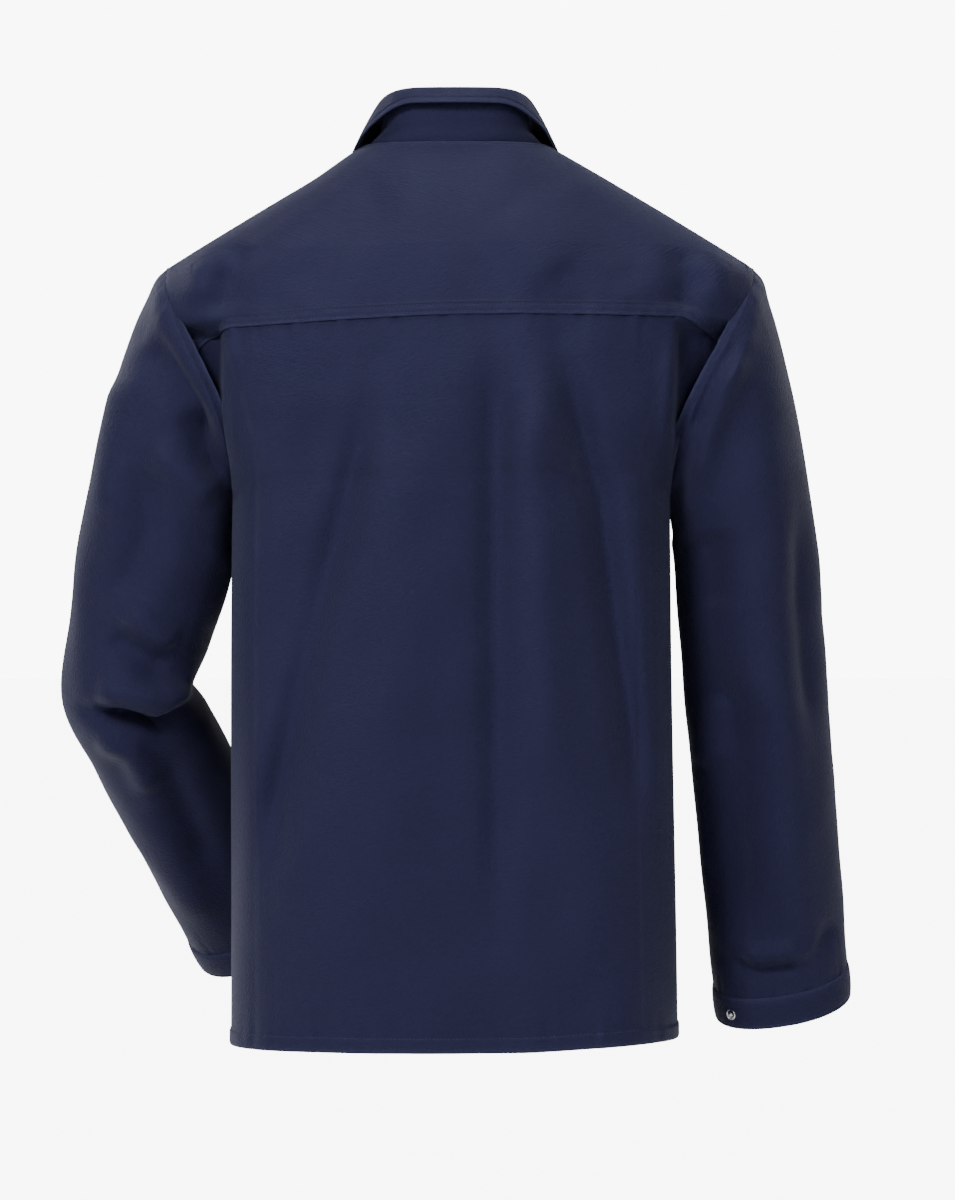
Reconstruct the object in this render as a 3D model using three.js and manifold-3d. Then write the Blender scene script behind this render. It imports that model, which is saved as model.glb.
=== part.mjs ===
// Work jacket of woven navy cloth, seen as worn: one bent arm, one hanging arm.
// Millimetres. +X is the wearer's left, +Y the back, +Z up. The origin is at the
// middle of the neck opening, level with the centre-back neck seam.
import * as THREE from 'three';
import { mergeVertices } from 'three/addons/utils/BufferGeometryUtils.js';
import Module from 'manifold-3d';

const wasm = await Module();
wasm.setup();

// ---------------------------------------------------------------- dimensions
const cloth = 1.6;                 // thickness of one panel with its seam allowance
const seamGap = 0.4;               // air between two panels that are sewn edge to edge
const layGap = 0.75;               // air between a patch and the panel under it

const backLength = 780;            // centre-back neck seam to hem
const yokeDepth = 152;
const neckHalfWidth = 78;
const neckBackDepth = 55;          // neck opening behind the shoulder seams
const neckFrontDrop = 70;
const shoulderHalfWidth = 255;
const shoulderDrop = 106;
const armholeHeight = 194;
const armholeBackReach = 85;
const armholeFrontReach = 80;
const armpitHalfWidth = 183;
const hemHalfWidth = 192;
const backFullness = 95;           // how far the back swells beyond the neck depth
const frontFullness = 97;
const sectionPower = 2.3;          // roundness of the body's horizontal section

const frontOverlap = 44;           // width of the two front edges lying on each other
const foldNeckX = 27;              // fold line of a front edge, at the neck
const foldHemX = 100;              // and at the hem

const standHeight = 45;
const standLean = 0.2;
const standClearance = 0.4;
const standSeat = cloth + standClearance;   // lower edge of the stand above the neck seam
const fallBackWidth = 18;
const fallFrontWidth = 66;

const fastenerGap = 4.2;           // air between two cloth layers snapped together
const capRadius = 6;
const socketRadius = 5;
const ballRadius = 2;
const ballClearance = 0.35;
const postRadius = 1.7;
const postClearance = 0.3;
const flangeGap = 0.5;             // air between the cloth and a cap or flange
const flangeThickness = 0.8;
const frontFasteners = 5;
const firstFastenerDrop = 122;
const fastenerPitch = 146;

const pocketRoom = 2.2;             // how far an empty pocket stands off the panel
const pocketRoomRise = 25;          // height over which it does so, from its bottom

const cuffDepth = 24;
const cuffThickness = 2.4;
const tabLength = 62;

const armholeTop = -shoulderDrop;
const armholeBottom = -shoulderDrop - armholeHeight;
const hem = -backLength;
const RIGHT_ANGLE = Math.PI / 2;

const colours = {
  navy: 0x2c2f4a,
  darkNavy: 0x23253c,
  pale: 0xb9bac0,
  steel: 0x9a9a9e,
};

// ------------------------------------------------------------- small helpers
const point = (x, y, z) => new THREE.Vector3(x, y, z);
const mix = (a, b, t) => a + (b - a) * t;
const ease = (t) => t * t * (3 - 2 * t);
const clamp01 = (t) => Math.min(1, Math.max(0, t));

function steps(from, to, count) {
  return Array.from({ length: count + 1 }, (_, i) => mix(from, to, i / count));
}

function bisect(low, high, f) {
  let a = low;
  let b = high;
  for (let i = 0; i < 50; i += 1) {
    const middle = (a + b) / 2;
    if (f(middle) > 0) {
      b = middle;
    } else {
      a = middle;
    }
  }
  return (a + b) / 2;
}

function signedVolume(geometry) {
  const p = geometry.attributes.position;
  const index = geometry.index.array;
  const corners = [point(), point(), point()];
  let total = 0;
  for (let i = 0; i < index.length; i += 3) {
    corners.forEach((corner, k) => corner.fromBufferAttribute(p, index[i + k]));
    total += corners[0].dot(corners[1].clone().cross(corners[2]));
  }
  return total;
}

function facesOut(geometry) {
  if (signedVolume(geometry) < 0) {
    const index = geometry.index.array;
    for (let i = 0; i < index.length; i += 3) {
      const first = index[i];
      index[i] = index[i + 1];
      index[i + 1] = first;
    }
  }
  geometry.computeVertexNormals();
  return geometry;
}

// A closed solid between two grids of points. wrap joins the last column to the first.
function solidBetween(inner, outer, wrap = false) {
  const rows = inner.length;
  const cols = inner[0].length;
  const positions = [];
  for (const grid of [outer, inner]) {
    grid.flat().forEach((p) => positions.push(p.x, p.y, p.z));
  }
  const o = (i, j) => i * cols + (j % cols);
  const n = (i, j) => rows * cols + o(i, j);
  const index = [];
  const quad = (a, b, c, d) => index.push(a, b, c, a, c, d);
  const lastCol = wrap ? cols : cols - 1;
  for (let j = 0; j < lastCol; j += 1) {
    for (let i = 0; i < rows - 1; i += 1) {
      quad(o(i, j), o(i + 1, j), o(i + 1, j + 1), o(i, j + 1));
      quad(n(i, j), n(i, j + 1), n(i + 1, j + 1), n(i + 1, j));
    }
    quad(o(0, j), o(0, j + 1), n(0, j + 1), n(0, j));
    quad(o(rows - 1, j + 1), o(rows - 1, j), n(rows - 1, j), n(rows - 1, j + 1));
  }
  if (!wrap) {
    const last = cols - 1;
    for (let i = 0; i < rows - 1; i += 1) {
      quad(o(i + 1, 0), o(i, 0), n(i, 0), n(i + 1, 0));
      quad(o(i, last), o(i + 1, last), n(i + 1, last), n(i, last));
    }
  }
  const geometry = new THREE.BufferGeometry();
  geometry.setAttribute('position', new THREE.Float32BufferAttribute(positions, 3));
  geometry.setIndex(index);
  return facesOut(geometry);
}

// Moves every grid point along its normal. offset(i, j) gives the distance.
function pushed(grid, normals, offset) {
  return grid.map((row, i) => row.map((p, j) => (
    p.clone().addScaledVector(normals[i][j], offset(i, j)))));
}

function toManifold(geometry) {
  const plain = geometry.clone();
  plain.deleteAttribute('normal');
  plain.deleteAttribute('uv');
  const merged = mergeVertices(plain, 1e-5);
  return new wasm.Manifold(new wasm.Mesh({
    numProp: 3,
    vertProperties: new Float32Array(merged.attributes.position.array),
    triVerts: new Uint32Array(merged.index.array),
  }));
}

function fromManifold(solid) {
  const mesh = solid.getMesh();
  const geometry = new THREE.BufferGeometry();
  geometry.setAttribute('position', new THREE.BufferAttribute(mesh.vertProperties, 3));
  geometry.setIndex(new THREE.BufferAttribute(mesh.triVerts, 1));
  return facesOut(geometry);
}

// Round holes for fastener posts. Each spot has a position and a normal.
function pierce(geometry, spots) {
  const holeDepth = 24;
  let solid = toManifold(geometry);
  for (const spot of spots) {
    const tool = new THREE.CylinderGeometry(
      postRadius + postClearance, postRadius + postClearance, holeDepth, 12);
    const turn = new THREE.Quaternion().setFromUnitVectors(point(0, 1, 0), spot.normal);
    tool.applyQuaternion(turn);
    tool.translate(spot.position.x, spot.position.y, spot.position.z);
    solid = solid.subtract(toManifold(tool));
  }
  return fromManifold(solid);
}

const jacket = new THREE.Group();

function addMesh(name, geometry, colour, roughness = 0.9, metalness = 0) {
  const material = new THREE.MeshStandardMaterial({ color: colour, roughness, metalness });
  const mesh = new THREE.Mesh(geometry, material);
  mesh.name = name;
  jacket.add(mesh);
  return mesh;
}

// -------------------------------------------------------------- body surface
// Half the width of the body at a height: shoulder line, armhole, then side seam.
function halfWidth(z) {
  if (z >= armholeTop) {
    return mix(neckHalfWidth, shoulderHalfWidth, z / armholeTop);
  }
  if (z >= armholeBottom) {
    const t = (armholeTop - z) / armholeHeight;
    const inward = (1 - Math.cos(Math.PI * t ** 0.8)) / 2;
    return mix(shoulderHalfWidth, armpitHalfWidth, inward);
  }
  return mix(armpitHalfWidth, hemHalfWidth, (armholeBottom - z) / (armholeBottom - hem));
}

// How far the armhole's edge stands back from the shoulder and side seams.
function armholeReach(half, z) {
  const reach = half === 'back' ? armholeBackReach : armholeFrontReach;
  const middle = (armholeTop + armholeBottom) / 2;
  const t = (z - middle) / (armholeHeight / 2);
  return reach * Math.sqrt(Math.max(0, 1 - t * t));
}

function halfDepth(half, z) {
  const fullness = half === 'back' ? backFullness : frontFullness;
  const softness = half === 'back' ? 103 : 110;
  return neckBackDepth + fullness * (1 - Math.exp(z / softness));
}

// A point of the body: angle 0 is the centre line and 90 degrees is the side seam.
function bodyPoint(half, angle, z) {
  const power = 2 / sectionPower;
  const across = Math.sign(Math.sin(angle)) * Math.abs(Math.sin(angle)) ** power;
  const depth = Math.max(0, Math.cos(angle)) ** power;
  const reach = armholeReach(half, z);
  const y = reach + seamGap / 2 + (halfDepth(half, z) - reach) * depth;
  return point(across * halfWidth(z), half === 'back' ? y : -y, z);
}

function bodyNormal(half, angle, z) {
  const sideways = Math.sign(angle);
  if (Math.abs(angle) > RIGHT_ANGLE - 1e-6) {
    const slope = (halfWidth(z + 2) - halfWidth(z - 2)) / 4;
    return point(sideways, 0, -slope).normalize();
  }
  const around = 0.01;
  const low = bodyPoint(half, angle - around, z);
  const high = bodyPoint(half, angle + around, z);
  const up = bodyPoint(half, angle, z + 2).sub(bodyPoint(half, angle, z - 2));
  const normal = high.sub(low).cross(up).normalize();
  return half === 'back' ? normal.negate() : normal;
}

function angleAt(x, z) {
  const s = Math.min(1, Math.abs(x) / halfWidth(z));
  return Math.sign(x) * Math.asin(s ** (sectionPower / 2));
}

// Where the column of points under a neckline starts. xAt(z) is the column's place.
function necklineZ(xAt) {
  return bisect(-neckFrontDrop, 0, (z) => {
    const drop = z / neckFrontDrop;
    return neckHalfWidth * Math.sqrt(1 - drop * drop) - Math.abs(xAt(z));
  });
}

// Heights of the rows that follow the armhole's round edge.
function armholeRows(from, to) {
  const rows = [];
  for (let step = 1; step < 12; step += 1) {
    const z = (armholeTop + armholeBottom) / 2
      + (armholeHeight / 2) * Math.cos((step * Math.PI) / 12);
    if (z < from - 4 && z > to + 4) {
      rows.push(z);
    }
  }
  return rows;
}

// A panel on the body: angles and heights given by functions of the grid place.
function bodyPanel(half, grid, low, high) {
  const points = grid.map((row) => row.map(([angle, z]) => bodyPoint(half, angle, z)));
  const normals = grid.map((row) => row.map(([angle, z]) => bodyNormal(half, angle, z)));
  return solidBetween(pushed(points, normals, low), pushed(points, normals, high));
}

// A patch that lies on, or inside, the body, cut square in x and z.
function bodyPatch(half, xs, zs, low, high) {
  const grid = zs.map((z) => xs.map((x) => [angleAt(x, z), z]));
  return bodyPanel(half, grid, low, high);
}

function spotOnBody(half, x, z, offset) {
  const angle = angleAt(x, z);
  const normal = bodyNormal(half, angle, z);
  const position = bodyPoint(half, angle, z).addScaledVector(normal, offset);
  return { position, normal };
}

// ----------------------------------------------------------------- the back
const backAngles = steps(-RIGHT_ANGLE, RIGHT_ANGLE, 14);

function backPiece(heights) {
  const grid = heights.map((z) => backAngles.map((angle) => [angle, z]));
  return bodyPanel('back', grid, () => -cloth / 2, () => cloth / 2);
}

const yokeRows = [
  ...steps(0, armholeTop, 5),
  ...armholeRows(armholeTop, -yokeDepth),
  -yokeDepth + seamGap / 2,
];
const backRows = [
  -yokeDepth - seamGap / 2,
  ...armholeRows(-yokeDepth, armholeBottom),
  ...steps(armholeBottom, hem, 7),
];
addMesh('back_yoke', backPiece(yokeRows), colours.navy);
addMesh('back_panel', backPiece(backRows), colours.navy);

// ---------------------------------------------------------------- the fronts
// The fold line, about which a front edge swings open, slants from neck to hem.
function foldX(z) {
  return mix(foldNeckX, foldHemX, (z + neckFrontDrop) / (hem + neckFrontDrop));
}

const bodyRows = [...armholeRows(armholeTop, armholeBottom), ...steps(armholeBottom, hem, 7)];

function frontSide(side) {
  const columns = steps(0, 1, 11);
  const angleOf = (u, z) => mix(angleAt(foldX(z) + seamGap / 2, z), RIGHT_ANGLE, u);
  const xOf = (u, z) => bodyPoint('front', angleOf(u, z), z).x;
  const tops = columns.map((u) => (u === 1 ? 0 : necklineZ((z) => xOf(u, z))));
  const grid = [];
  for (const t of steps(0, 1, 4)) {
    grid.push(tops.map((top) => mix(top, armholeTop, t)));
  }
  bodyRows.forEach((z) => grid.push(columns.map(() => z)));
  const placed = grid.map((row) => row.map((z, j) => [side * angleOf(columns[j], z), z]));
  return bodyPanel('front', placed, () => -cloth / 2, () => cloth / 2);
}

// A front edge runs from its fold line past the centre. rise lifts it off the other.
const edgeRise = (fastenerGap + cloth) / 2;
const lapHalf = frontOverlap / 2;

function frontEdge(side, rise) {
  const foldSide = [0, 0.35, 0.7, 1];
  const lap = [lapHalf / 3, -lapHalf / 3, -lapHalf];
  const xOf = (j, z) => (j < foldSide.length
    ? mix(foldX(z) - seamGap / 2, lapHalf, foldSide[j])
    : lap[j - foldSide.length]);
  const columns = [...foldSide, ...lap].map((_, j) => j);
  const tops = columns.map((j) => necklineZ((z) => xOf(j, z)));
  const grid = [];
  for (const t of steps(0, 1, 2)) {
    grid.push(tops.map((top) => mix(top, armholeTop, t)));
  }
  bodyRows.forEach((z) => grid.push(columns.map(() => z)));
  const placed = grid.map((row) => row.map((z, j) => [side * angleAt(xOf(j, z), z), z]));
  const lift = (i, j) => rise * (j < foldSide.length ? ease(foldSide[j]) : 1);
  return bodyPanel('front', placed,
    (i, j) => lift(i, j) - cloth / 2, (i, j) => lift(i, j) + cloth / 2);
}

const fastenerHeights = Array.from({ length: frontFasteners },
  (_, i) => -firstFastenerDrop - i * fastenerPitch);
const onOuterEdge = fastenerHeights.map((z) => spotOnBody('front', 0, z, edgeRise));
const onInnerEdge = fastenerHeights.map((z) => spotOnBody('front', 0, z, -edgeRise));

addMesh('front_left_panel', frontSide(1), colours.navy);
addMesh('front_right_panel', frontSide(-1), colours.navy);
addMesh('front_left_edge', pierce(frontEdge(1, edgeRise), onOuterEdge), colours.navy);
addMesh('front_right_edge', pierce(frontEdge(-1, -edgeRise), onInnerEdge), colours.navy);

// ----------------------------------------------------------- press fasteners
const roundParts = 10;

// The cap half: a domed cap outside the cloth and a socket ring inside it, joined by
// a post through the cloth. Height 0 is the middle of the cloth, thickness its own.
function capHalf(thickness) {
  const outside = thickness / 2 + flangeGap;
  const inside = -thickness / 2 - flangeGap;
  const ringBottom = -thickness / 2 - fastenerGap / 2;
  const profile = [
    [0, outside + 1.4],
    [capRadius * 0.6, outside + 1.4],
    [capRadius - 0.5, outside + 1],
    [capRadius, outside],
    [postRadius, outside],
    [postRadius, inside],
    [socketRadius, inside],
    [socketRadius, ringBottom],
    [ballRadius + ballClearance, ringBottom],
    [ballRadius + ballClearance, inside - flangeThickness],
    [0, inside - flangeThickness],
  ];
  return new THREE.LatheGeometry(profile.map(([r, h]) => new THREE.Vector2(r, h)), roundParts);
}

// The stud half: a ball on a flange outside the cloth, a post and a back plate.
function studHalf(thickness) {
  const outside = thickness / 2 + flangeGap;
  const inside = -thickness / 2 - flangeGap - 0.3;
  const socketCeiling = thickness / 2 + fastenerGap - flangeGap - flangeThickness;
  const top = socketCeiling - ballClearance;
  const profile = [
    [0, top],
    [ballRadius, top],
    [postRadius, outside + flangeThickness],
    [socketRadius - 0.3, outside + flangeThickness * 0.8],
    [socketRadius, outside],
    [postRadius, outside],
    [postRadius, inside],
    [socketRadius - 0.6, inside],
    [socketRadius - 0.6, inside - flangeThickness],
    [0, inside - flangeThickness],
  ];
  return new THREE.LatheGeometry(profile.map(([r, h]) => new THREE.Vector2(r, h)), roundParts);
}

function addFastener(name, geometry, spot) {
  const mesh = addMesh(name, mergeVertices(withoutExtras(geometry), 1e-4), colours.steel, 0.35, 0.9);
  facesOut(mesh.geometry);
  mesh.position.copy(spot.position);
  mesh.quaternion.setFromUnitVectors(point(0, 1, 0), spot.normal);
}

function withoutExtras(geometry) {
  geometry.deleteAttribute('normal');
  geometry.deleteAttribute('uv');
  return geometry;
}

fastenerHeights.forEach((z, i) => {
  addFastener(`front_cap_${i + 1}`, capHalf(cloth), onOuterEdge[i]);
  addFastener(`front_stud_${i + 1}`, studHalf(cloth), onInnerEdge[i]);
});

// ------------------------------------------------------------------ collar
// The neck seam: turn 0 is the centre back, and +1 and -1 are the shoulder seams.
const collarEndX = foldNeckX + 6;
const collarTurn = 1 + Math.acos(collarEndX / neckHalfWidth) / RIGHT_ANGLE;

function neckSeam(turn) {
  const side = Math.sign(turn) || 1;
  const t = Math.abs(turn);
  if (t <= 1) {
    return bodyPoint('back', side * t * RIGHT_ANGLE, 0);
  }
  const swing = (t - 1) * RIGHT_ANGLE;
  const x = neckHalfWidth * Math.cos(swing);
  const z = -neckFrontDrop * Math.sin(swing);
  return bodyPoint('front', side * angleAt(x, z), z);
}

function neckOutward(turn) {
  const p = neckSeam(turn);
  return point(p.x / neckHalfWidth ** 2, (p.y + 12) / 70 ** 2, 0).normalize();
}

const collarTurns = steps(-collarTurn, collarTurn, 26);

function standPoint(turn, height) {
  const rise = mix(standHeight, standHeight * 0.7, ease(clamp01(Math.abs(turn) - 0.6)));
  const up = standSeat + height * (rise - standSeat);
  return neckSeam(turn)
    .addScaledVector(point(0, 0, 1), up)
    .addScaledVector(neckOutward(turn), -standLean * up - seamGap);
}

function collarStand() {
  const grid = steps(0, 1, 3).map((h) => collarTurns.map((turn) => standPoint(turn, h)));
  const normals = grid.map(() => collarTurns.map(neckOutward));
  return solidBetween(
    pushed(grid, normals, () => -cloth / 2), pushed(grid, normals, () => cloth / 2));
}

// The fall starts on the stand's top edge and leans out and down all round.
function collarFall() {
  const grid = [];
  for (const v of steps(0, 1, 4)) {
    grid.push(collarTurns.map((turn) => {
      const forward = ease(clamp01((Math.abs(turn) - 0.25) / (collarTurn - 0.25)));
      const width = mix(fallBackWidth, fallFrontWidth, forward);
      const lean = mix(0.75, 0.5, forward);
      const start = standPoint(turn, 1).addScaledVector(point(0, 0, 1), cloth);
      const out = 1.4 * ease(clamp01(v * 4)) + width * v * Math.sin(lean);
      return start
        .addScaledVector(neckOutward(turn), out)
        .addScaledVector(point(0, 0, -1), width * v * v ** 0.3 * Math.cos(lean));
    }));
  }
  const normals = grid.map((row, i) => row.map((p, j) => {
    const tilt = i === 0 ? 0.8 : 0.45;
    return neckOutward(collarTurns[j]).addScaledVector(point(0, 0, 1), tilt).normalize();
  }));
  return solidBetween(
    pushed(grid, normals, () => 0), pushed(grid, normals, () => cloth));
}

addMesh('collar_stand', collarStand(), colours.navy);
addMesh('collar_fall', collarFall(), colours.navy);

// ---------------------------------------------------- inside the neck: loop, label
const loopHalfWidth = 30;
const loopStandOff = 9;
const loopXs = steps(-loopHalfWidth, loopHalfWidth, 10);
const loopBase = -cloth / 2 - layGap;
const loopLift = (i, j) => loopBase - loopStandOff * Math.sin((Math.PI * j) / 10);
addMesh('hang_loop', bodyPatch('back', loopXs, [-8, -16],
  (i, j) => loopLift(i, j) - 1.4, loopLift), colours.darkNavy);

addMesh('neck_label', bodyPatch('back', steps(-28, 28, 4), [-30, -42.4, -63.6, -72],
  () => loopBase - 1.6, () => loopBase - 0.8), colours.pale, 0.6);

// ---------------------------------------------------------------- pockets
const chestPocket = { near: 64, far: 166, top: -224, bottom: -350 };
const chestFlap = { near: 60, far: 170, top: -208, bottom: -262 };
const hipPocket = { near: 110, far: 178, top: -545, bottom: -715 };
const innerPocket = { near: 72, far: 156, top: -380, bottom: -520 };
const chestFastenerX = 115;
const chestFastenerZ = -250;

function mirrored(xs, side) {
  return side > 0 ? xs : xs.map((x) => -x).reverse();
}

// Heights from top to bottom that also take in the rows of the panel underneath.
function rowsBetween(top, bottom) {
  const between = bodyRows.filter((z) => z < top - 5 && z > bottom + 5);
  return [top, ...between, bottom];
}

// A pocket is sewn down at its sides and bottom, and its mouth stands a little open.
const pocketColumns = 7;

function pocketPatch(box, side, inOut) {
  const xs = mirrored(steps(box.near, box.far, pocketColumns), side);
  const zs = rowsBetween(box.top, box.bottom);
  const lift = (i, j) => {
    const fromSide = Math.min(j, pocketColumns - j) / 2;
    const fromBottom = (zs[i] - box.bottom) / pocketRoomRise;
    return inOut * (patchLow + pocketRoom * Math.min(1, fromSide, fromBottom));
  };
  const far = (i, j) => lift(i, j) + inOut * cloth;
  return bodyPatch('front', xs, zs, inOut > 0 ? lift : far, inOut > 0 ? far : lift);
}

const patchLow = cloth / 2 + layGap;
const pocketHigh = patchLow + pocketRoom + cloth;
const flapAtFastener = pocketHigh + fastenerGap;

for (const side of [1, -1]) {
  const word = side > 0 ? 'left' : 'right';
  const studSpot = spotOnBody('front', side * chestFastenerX, chestFastenerZ,
    pocketHigh - cloth / 2);
  const capSpot = spotOnBody('front', side * chestFastenerX, chestFastenerZ,
    flapAtFastener + cloth / 2);
  const bag = pierce(pocketPatch(chestPocket, side, 1), [studSpot]);
  const flapXs = mirrored(steps(chestFlap.near, chestFlap.far, 8), side);
  const flapZs = rowsBetween(chestFlap.top, chestFlap.bottom);
  const flapLow = (i) => mix(patchLow, flapAtFastener,
    clamp01((chestFlap.top - flapZs[i]) / (chestFlap.top - chestPocket.top - 1)));
  const flap = bodyPatch('front', flapXs, flapZs, flapLow, (i) => flapLow(i) + cloth);
  addMesh(`chest_pocket_${word}`, bag, colours.navy);
  addMesh(`chest_flap_${word}`, pierce(flap, [capSpot]), colours.navy);
  addFastener(`chest_stud_${word}`, studHalf(cloth), studSpot);
  addFastener(`chest_cap_${word}`, capHalf(cloth), capSpot);
  addMesh(`hip_pocket_${word}`, pocketPatch(hipPocket, side, 1), colours.navy);
}
addMesh('inner_pocket', pocketPatch(innerPocket, 1, -1), colours.darkNavy);

// ---------------------------------------------------------------- sleeves
// An arm is a path through the elbow to the cuff, with the sleeve's half sizes.
const arms = {
  left: {
    side: 1,
    upper: point(257, -14, -350),
    elbow: point(284, -30, -470),
    cuff: point(171, -184, -682),
    upperHalf: [64, 74],
    elbowHalf: [56, 64],
    cuffHalf: [55, 45],
    capBulge: point(283, 0, -135),
  },
  right: {
    side: -1,
    upper: point(251, -14, -350),
    elbow: point(258, -24, -475),
    cuff: point(284, -58, -742),
    upperHalf: [62, 74],
    elbowHalf: [59, 64],
    cuffHalf: [57, 45],
    capBulge: point(283, 0, -135),
  },
};
const around = 24;
const sleeveOff = cloth + seamGap + 0.2;

function armholeLoop(phi) {
  const z = (armholeTop + armholeBottom) / 2 + (armholeHeight / 2) * Math.cos(phi);
  const reach = Math.sin(phi) > 0 ? armholeBackReach : armholeFrontReach;
  return point(halfWidth(z) + sleeveOff, reach * Math.sin(phi), z);
}

function ringAxes(direction) {
  const out = point(-direction.z, 0, direction.x).normalize();
  const back = out.clone().cross(direction).normalize();
  return { out, back };
}

function ring(centre, direction, half, phi) {
  const { out, back } = ringAxes(direction);
  return centre.clone()
    .addScaledVector(out, half[0] * Math.cos(phi))
    .addScaledVector(back, half[1] * Math.sin(phi));
}

const phis = Array.from({ length: around }, (_, i) => (2 * Math.PI * i) / around);

// Rings of one sleeve from the armhole to the cuff's lower edge.
function sleeveRings(arm) {
  const down = arm.elbow.clone().sub(arm.upper).normalize();
  const fore = arm.cuff.clone().sub(arm.elbow).normalize();
  const bisector = down.clone().add(fore).normalize();
  const foreLength = arm.cuff.distanceTo(arm.elbow);
  const capEnd = (phi) => ring(arm.upper, down, arm.upperHalf, phi);
  const upperRings = [];
  for (const t of [0, 0.12, 0.3, 0.6, 1]) {
    const outerMid = armholeLoop(0).add(capEnd(0)).multiplyScalar(0.5);
    const bulge = arm.capBulge.clone().sub(outerMid).multiplyScalar(2 * t * (1 - t));
    upperRings.push(phis.map((phi) => armholeLoop(phi)
      .lerp(capEnd(phi), t)
      .addScaledVector(bulge, (1 + Math.cos(phi)) / 2)));
  }
  const nearElbow = arm.elbow.clone().addScaledVector(down, -52);
  const nearHalf = arm.upperHalf.map((size, k) => mix(size, arm.elbowHalf[k], 0.65));
  upperRings.push(phis.map((phi) => ring(nearElbow, down, nearHalf, phi)));
  const elbowRing = phis.map((phi) => ring(arm.elbow, bisector, arm.elbowHalf, phi));
  upperRings.push(elbowRing);
  const lowerRings = [elbowRing];
  const cuffTop = foreLength - cuffDepth;
  for (const along of [52, mix(52, cuffTop, 0.5), cuffTop, foreLength]) {
    const centre = arm.elbow.clone().addScaledVector(fore, along);
    const half = arm.elbowHalf.map((size, k) => mix(size, arm.cuffHalf[k], along / foreLength));
    lowerRings.push(phis.map((phi) => ring(centre, fore, half, phi)));
  }
  return { upperRings, lowerRings, down, fore, bisector };
}

// Normals of a grid of rings, averaged from the neighbours.
function ringNormals(rings) {
  const last = rings.length - 1;
  return rings.map((row, i) => row.map((p, j) => {
    const along = rings[Math.min(last, i + 1)][j].clone().sub(rings[Math.max(0, i - 1)][j]);
    const turn = row[(j + 1) % around].clone().sub(row[(j + around - 1) % around]);
    return turn.cross(along).normalize();
  }));
}

function flatten(normals, direction) {
  return normals.map((n) => n.clone().addScaledVector(direction, -n.dot(direction)).normalize());
}

function tube(rings, normals, thickness) {
  return solidBetween(pushed(rings, normals, () => -thickness / 2),
    pushed(rings, normals, () => thickness / 2), true);
}

function shifted(row, direction, distance) {
  return row.map((p) => p.clone().addScaledVector(direction, distance));
}

function mirrorPoint(p) {
  return point(-p.x, p.y, p.z);
}

function mirrorIf(arm, grid) {
  return arm.side > 0 ? grid : grid.map((row) => row.map(mirrorPoint));
}

const cuffs = {};
for (const [word, arm] of Object.entries(arms)) {
  const { upperRings, lowerRings, fore, bisector } = sleeveRings(arm);
  const joined = [...upperRings, ...lowerRings.slice(1)];
  const normals = ringNormals(joined);
  const elbowIndex = upperRings.length - 1;
  const cuffIndex = joined.length - 2;
  normals[elbowIndex] = flatten(normals[elbowIndex], bisector);
  normals[cuffIndex] = flatten(normals[cuffIndex], fore);
  normals[cuffIndex + 1] = flatten(normals[cuffIndex + 1], fore);

  const upper = joined.slice(0, elbowIndex + 1);
  upper[elbowIndex] = shifted(upper[elbowIndex], bisector, -seamGap / 2);
  const lower = joined.slice(elbowIndex, cuffIndex + 1);
  lower[0] = shifted(lower[0], bisector, seamGap / 2);
  lower[lower.length - 1] = shifted(lower[lower.length - 1], fore, -seamGap);
  const band = joined.slice(cuffIndex);

  const placed = (grid) => mirrorIf(arm, grid);
  addMesh(`sleeve_${word}_upper`,
    tube(placed(upper), placed(normals.slice(0, elbowIndex + 1)), cloth), colours.navy);
  addMesh(`sleeve_${word}_lower`,
    tube(placed(lower), placed(normals.slice(elbowIndex, cuffIndex + 1)), cloth), colours.navy);

  // The cuff: place(u, v) is a point round the band, u as an angle, v along the arm.
  const { out, back } = ringAxes(fore);
  const cuffSpot = (phi, v, offset) => {
    const backUp = cuffDepth * (1 - v);
    const centre = arm.cuff.clone().addScaledVector(fore, -backUp);
    const share = 1 - backUp / arm.cuff.distanceTo(arm.elbow);
    const half = arm.elbowHalf.map((size, k) => mix(size, arm.cuffHalf[k], share));
    const position = ring(centre, fore, half, phi);
    const normal = out.clone().multiplyScalar(Math.cos(phi) / arm.cuffHalf[0])
      .addScaledVector(back, Math.sin(phi) / arm.cuffHalf[1]).normalize();
    position.addScaledVector(normal, offset);
    return arm.side > 0 ? { position, normal }
      : { position: mirrorPoint(position), normal: mirrorPoint(normal) };
  };
  cuffs[word] = {
    arm, cuffSpot,
    band: placed(band), bandNormals: placed(normals.slice(cuffIndex)),
  };
}

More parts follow.
